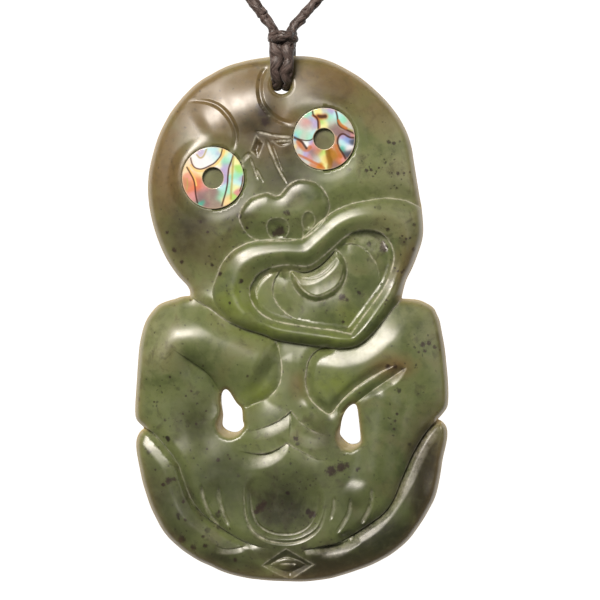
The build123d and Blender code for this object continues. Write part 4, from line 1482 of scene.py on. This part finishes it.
VEIN_TINTS = {
    "dark": (0.060, 0.022, 0.014), "olive": (0.36, 0.30, 0.09), "rust": (0.42, 0.13, 0.030), "gold": (0.74, 0.46, 0.14),
    "brown": (0.20, 0.085, 0.006),
}
BEVEL = 0.13
BEVEL_TURNS = (0.4, 0.8, 1.2)
FACE_ROWS = 62
RING_SIDES = 260
SHELL_EDGE = 0.16
EDGE_TINT = (0.50, 0.40, 0.28)


def ring_section():
    """The ring's section from the pupil over the face to the outer edge: radius and height."""
    eased = [(BEVEL * (1 - math.cos(a)), BEVEL * (1 - math.sin(a))) for a in BEVEL_TURNS]
    section = [(PUPIL_RADIUS, EYE_SEAT + 0.02), (PUPIL_RADIUS, EYE_FACE - BEVEL)]
    section += [(PUPIL_RADIUS + across, EYE_FACE - down) for across, down in eased]
    section += [(r, EYE_FACE) for r in np.linspace(PUPIL_RADIUS + BEVEL, EYE_RADIUS - BEVEL, FACE_ROWS)]
    section += [(EYE_RADIUS - down, EYE_FACE - across) for across, down in eased]
    section += [(EYE_RADIUS, EYE_FACE - BEVEL), (EYE_RADIUS, EYE_SEAT + 0.02)]
    return np.array(section)


def shell_colours(spots, clouds, veins):
    """Soft clouds of colour, bent a little, under dark growth lines."""
    x, z = spots.T
    seen = spots + 0.12 * np.c_[np.sin(z * 3.1 + x), np.sin(x * 2.7 - z)]
    tint, weight = np.zeros((len(spots), 3)), np.zeros(len(spots))
    for kind, places in clouds.items():
        for px, py, reach in places:
            far = ((seen - spot([(px, py)])[0]) ** 2).sum(1)
            share = np.exp(-far / (reach / PX_PER_MM) ** 2 * 0.46) + 1e-9
            tint += share[:, None] * SHELL_TINTS[kind]
            weight += share
    tint = (tint / weight[:, None]) ** 1.45 * 0.80
    for kind, wide, way in veins:
        near, far, _, _ = nearest(smooth(spot(way)), spots, wide / PX_PER_MM * 1.6)
        half = wide / PX_PER_MM / 2 * 1.12
        share = (1 - swell((far - half * 0.45) / (half * 1.1)))[:, None] * (0.95 if kind == "dark" else 0.8)
        tint[near] = tint[near] * (1 - share) + np.array(VEIN_TINTS[kind]) * share
    return tint


def shell_ring(name, middle, clouds, veins, node, material):
    """A polished shell ring, with its colours held on its points."""
    section = ring_section()
    spots = (middle + section[:, None, :1] * circle(around(RING_SIDES))[None]).reshape(-1, 2)
    x, z = spots.T
    height = np.repeat(section[:, 1], RING_SIDES)
    height += 0.012 * np.sin(x * 1.9 + z * 0.7) * (height > EYE_FACE - 0.01)
    tint = shell_colours(spots, clouds, veins)
    edge_far = np.minimum(section[:, 0] - PUPIL_RADIUS, EYE_RADIUS - section[:, 0])
    edge = np.repeat(edge_far < SHELL_EDGE, RING_SIDES)
    tint[edge] = tint[edge] * 0.45 + np.array(EDGE_TINT) * 0.55
    index = np.arange(len(spots)).reshape(len(section), RING_SIDES)
    below = np.roll(index, -1, axis=0)
    corners = [index, np.roll(index, -1, axis=1), np.roll(below, -1, axis=1), below]
    world = np.c_[x, -(REACH + height), z - DROP] * MM
    ring = build_mesh(name, world, np.stack(corners, -1).reshape(-1, 4).tolist())
    colours = ring.data.color_attributes.new("shell_colour", "FLOAT_COLOR", "POINT")
    colours.data.foreach_set("color", np.c_[tint, np.ones(len(tint))].astype(np.float32).ravel())
    dress(ring, material, node)


# The faint warm, cool and white light that plays over the shell
SHELL_WARM = (0.85, 0.45, 0.42)
SHELL_COOL = (0.25, 0.75, 0.80)
SHELL_BRIGHT = (1.0, 1.0, 0.97)


def polished_shell():
    finish = Finish("polished_shell", IOR=1.5, Coat_Weight=0.2, Coat_Roughness=0.08)
    place = finish.place()
    grown = finish.node("Attribute", {"attribute_name": "shell_colour"}, out="Color")
    ripple = finish.noise(place, 700.0, 4.0, 0.6, 1.4)
    shift = finish.noise(place, 380.0, 2.0, 0.5, 0.8)
    warm = finish.blend(finish.span(shift, 0.5, 0.72) * 0.16, grown, SHELL_WARM, "SOFT_LIGHT")
    cool = finish.blend(finish.span(shift, 0.5, 0.3) * 0.2, warm, SHELL_COOL, "SOFT_LIGHT")
    finish.feed(
        Base_Color=finish.blend(finish.span(ripple, 0.35, 0.68) * 0.18, cool, SHELL_BRIGHT, "OVERLAY"),
        Roughness=finish.span(ripple, 0.3, 0.7, 0.10, 0.22),
        Normal=finish.bump(ripple, 0.08, 0.00005),
    )
    return finish.material


# The wall's half width, lowest and highest edge and distance behind the nape, in metres
WALL_WIDE, WALL_LOW, WALL_HIGH, WALL_BEHIND = 7.8, -3.2, 5.2, 2.6
WARM_LIGHT = (1.0, 0.915, 0.835)
ROOM_LIGHT = (1, 0.95, 0.85, 1)


def set_the_stage():
    """A glowing white wall behind, and soft light from the upper left and the right."""
    paper = Finish("white_paper", Roughness=0.9, Emission_Strength=1.0)
    grain = paper.noise(paper.place(), 60.0)
    paper.feed(
        Base_Color=paper.blend(grain * 0.1, (0.95, 0.95, 0.95), (0.9, 0.9, 0.9)),
        Emission_Color=paper.blend(grain * 0.05, (1.0, 1.0, 1.0), (0.98, 0.98, 0.98)),
    )
    corners = [(-1, WALL_LOW), (1, WALL_LOW), (1, WALL_HIGH), (-1, WALL_HIGH)]
    wall = build_mesh("backdrop", [(side * WALL_WIDE, WALL_BEHIND, z) for side, z in corners], [(0, 1, 2, 3)])
    wall.data.materials.append(paper.material)
    middle = at(3, 0, -35)
    softbox("key", middle + Vector((-0.17, -0.52, 0.29)), (0.26, 0.22), 5.6, middle, WARM_LIGHT)
    softbox("fill", middle + Vector((0.5, -0.4, 0.12)), (0.2, 0.5), 0.4, middle, WARM_LIGHT)
    world = bpy.data.worlds.new("studio")
    bpy.context.scene.world = world
    world.use_nodes = True
    room = world.node_tree.nodes["Background"].inputs
    room["Color"].default_value = ROOM_LIGHT
    room["Strength"].default_value = 0.15
    bpy.context.scene.view_settings.view_transform = "Standard"


string_the_cord()
paua = polished_shell()
shell_ring("left_ring", LEFT_EYE, LEFT_CLOUDS, LEFT_VEINS, "left_eye", paua)
shell_ring("right_ring", RIGHT_EYE, RIGHT_CLOUDS, RIGHT_VEINS, "right_eye", paua)
dress(carve_figure(), jade(), "tiki")
set_the_stage()
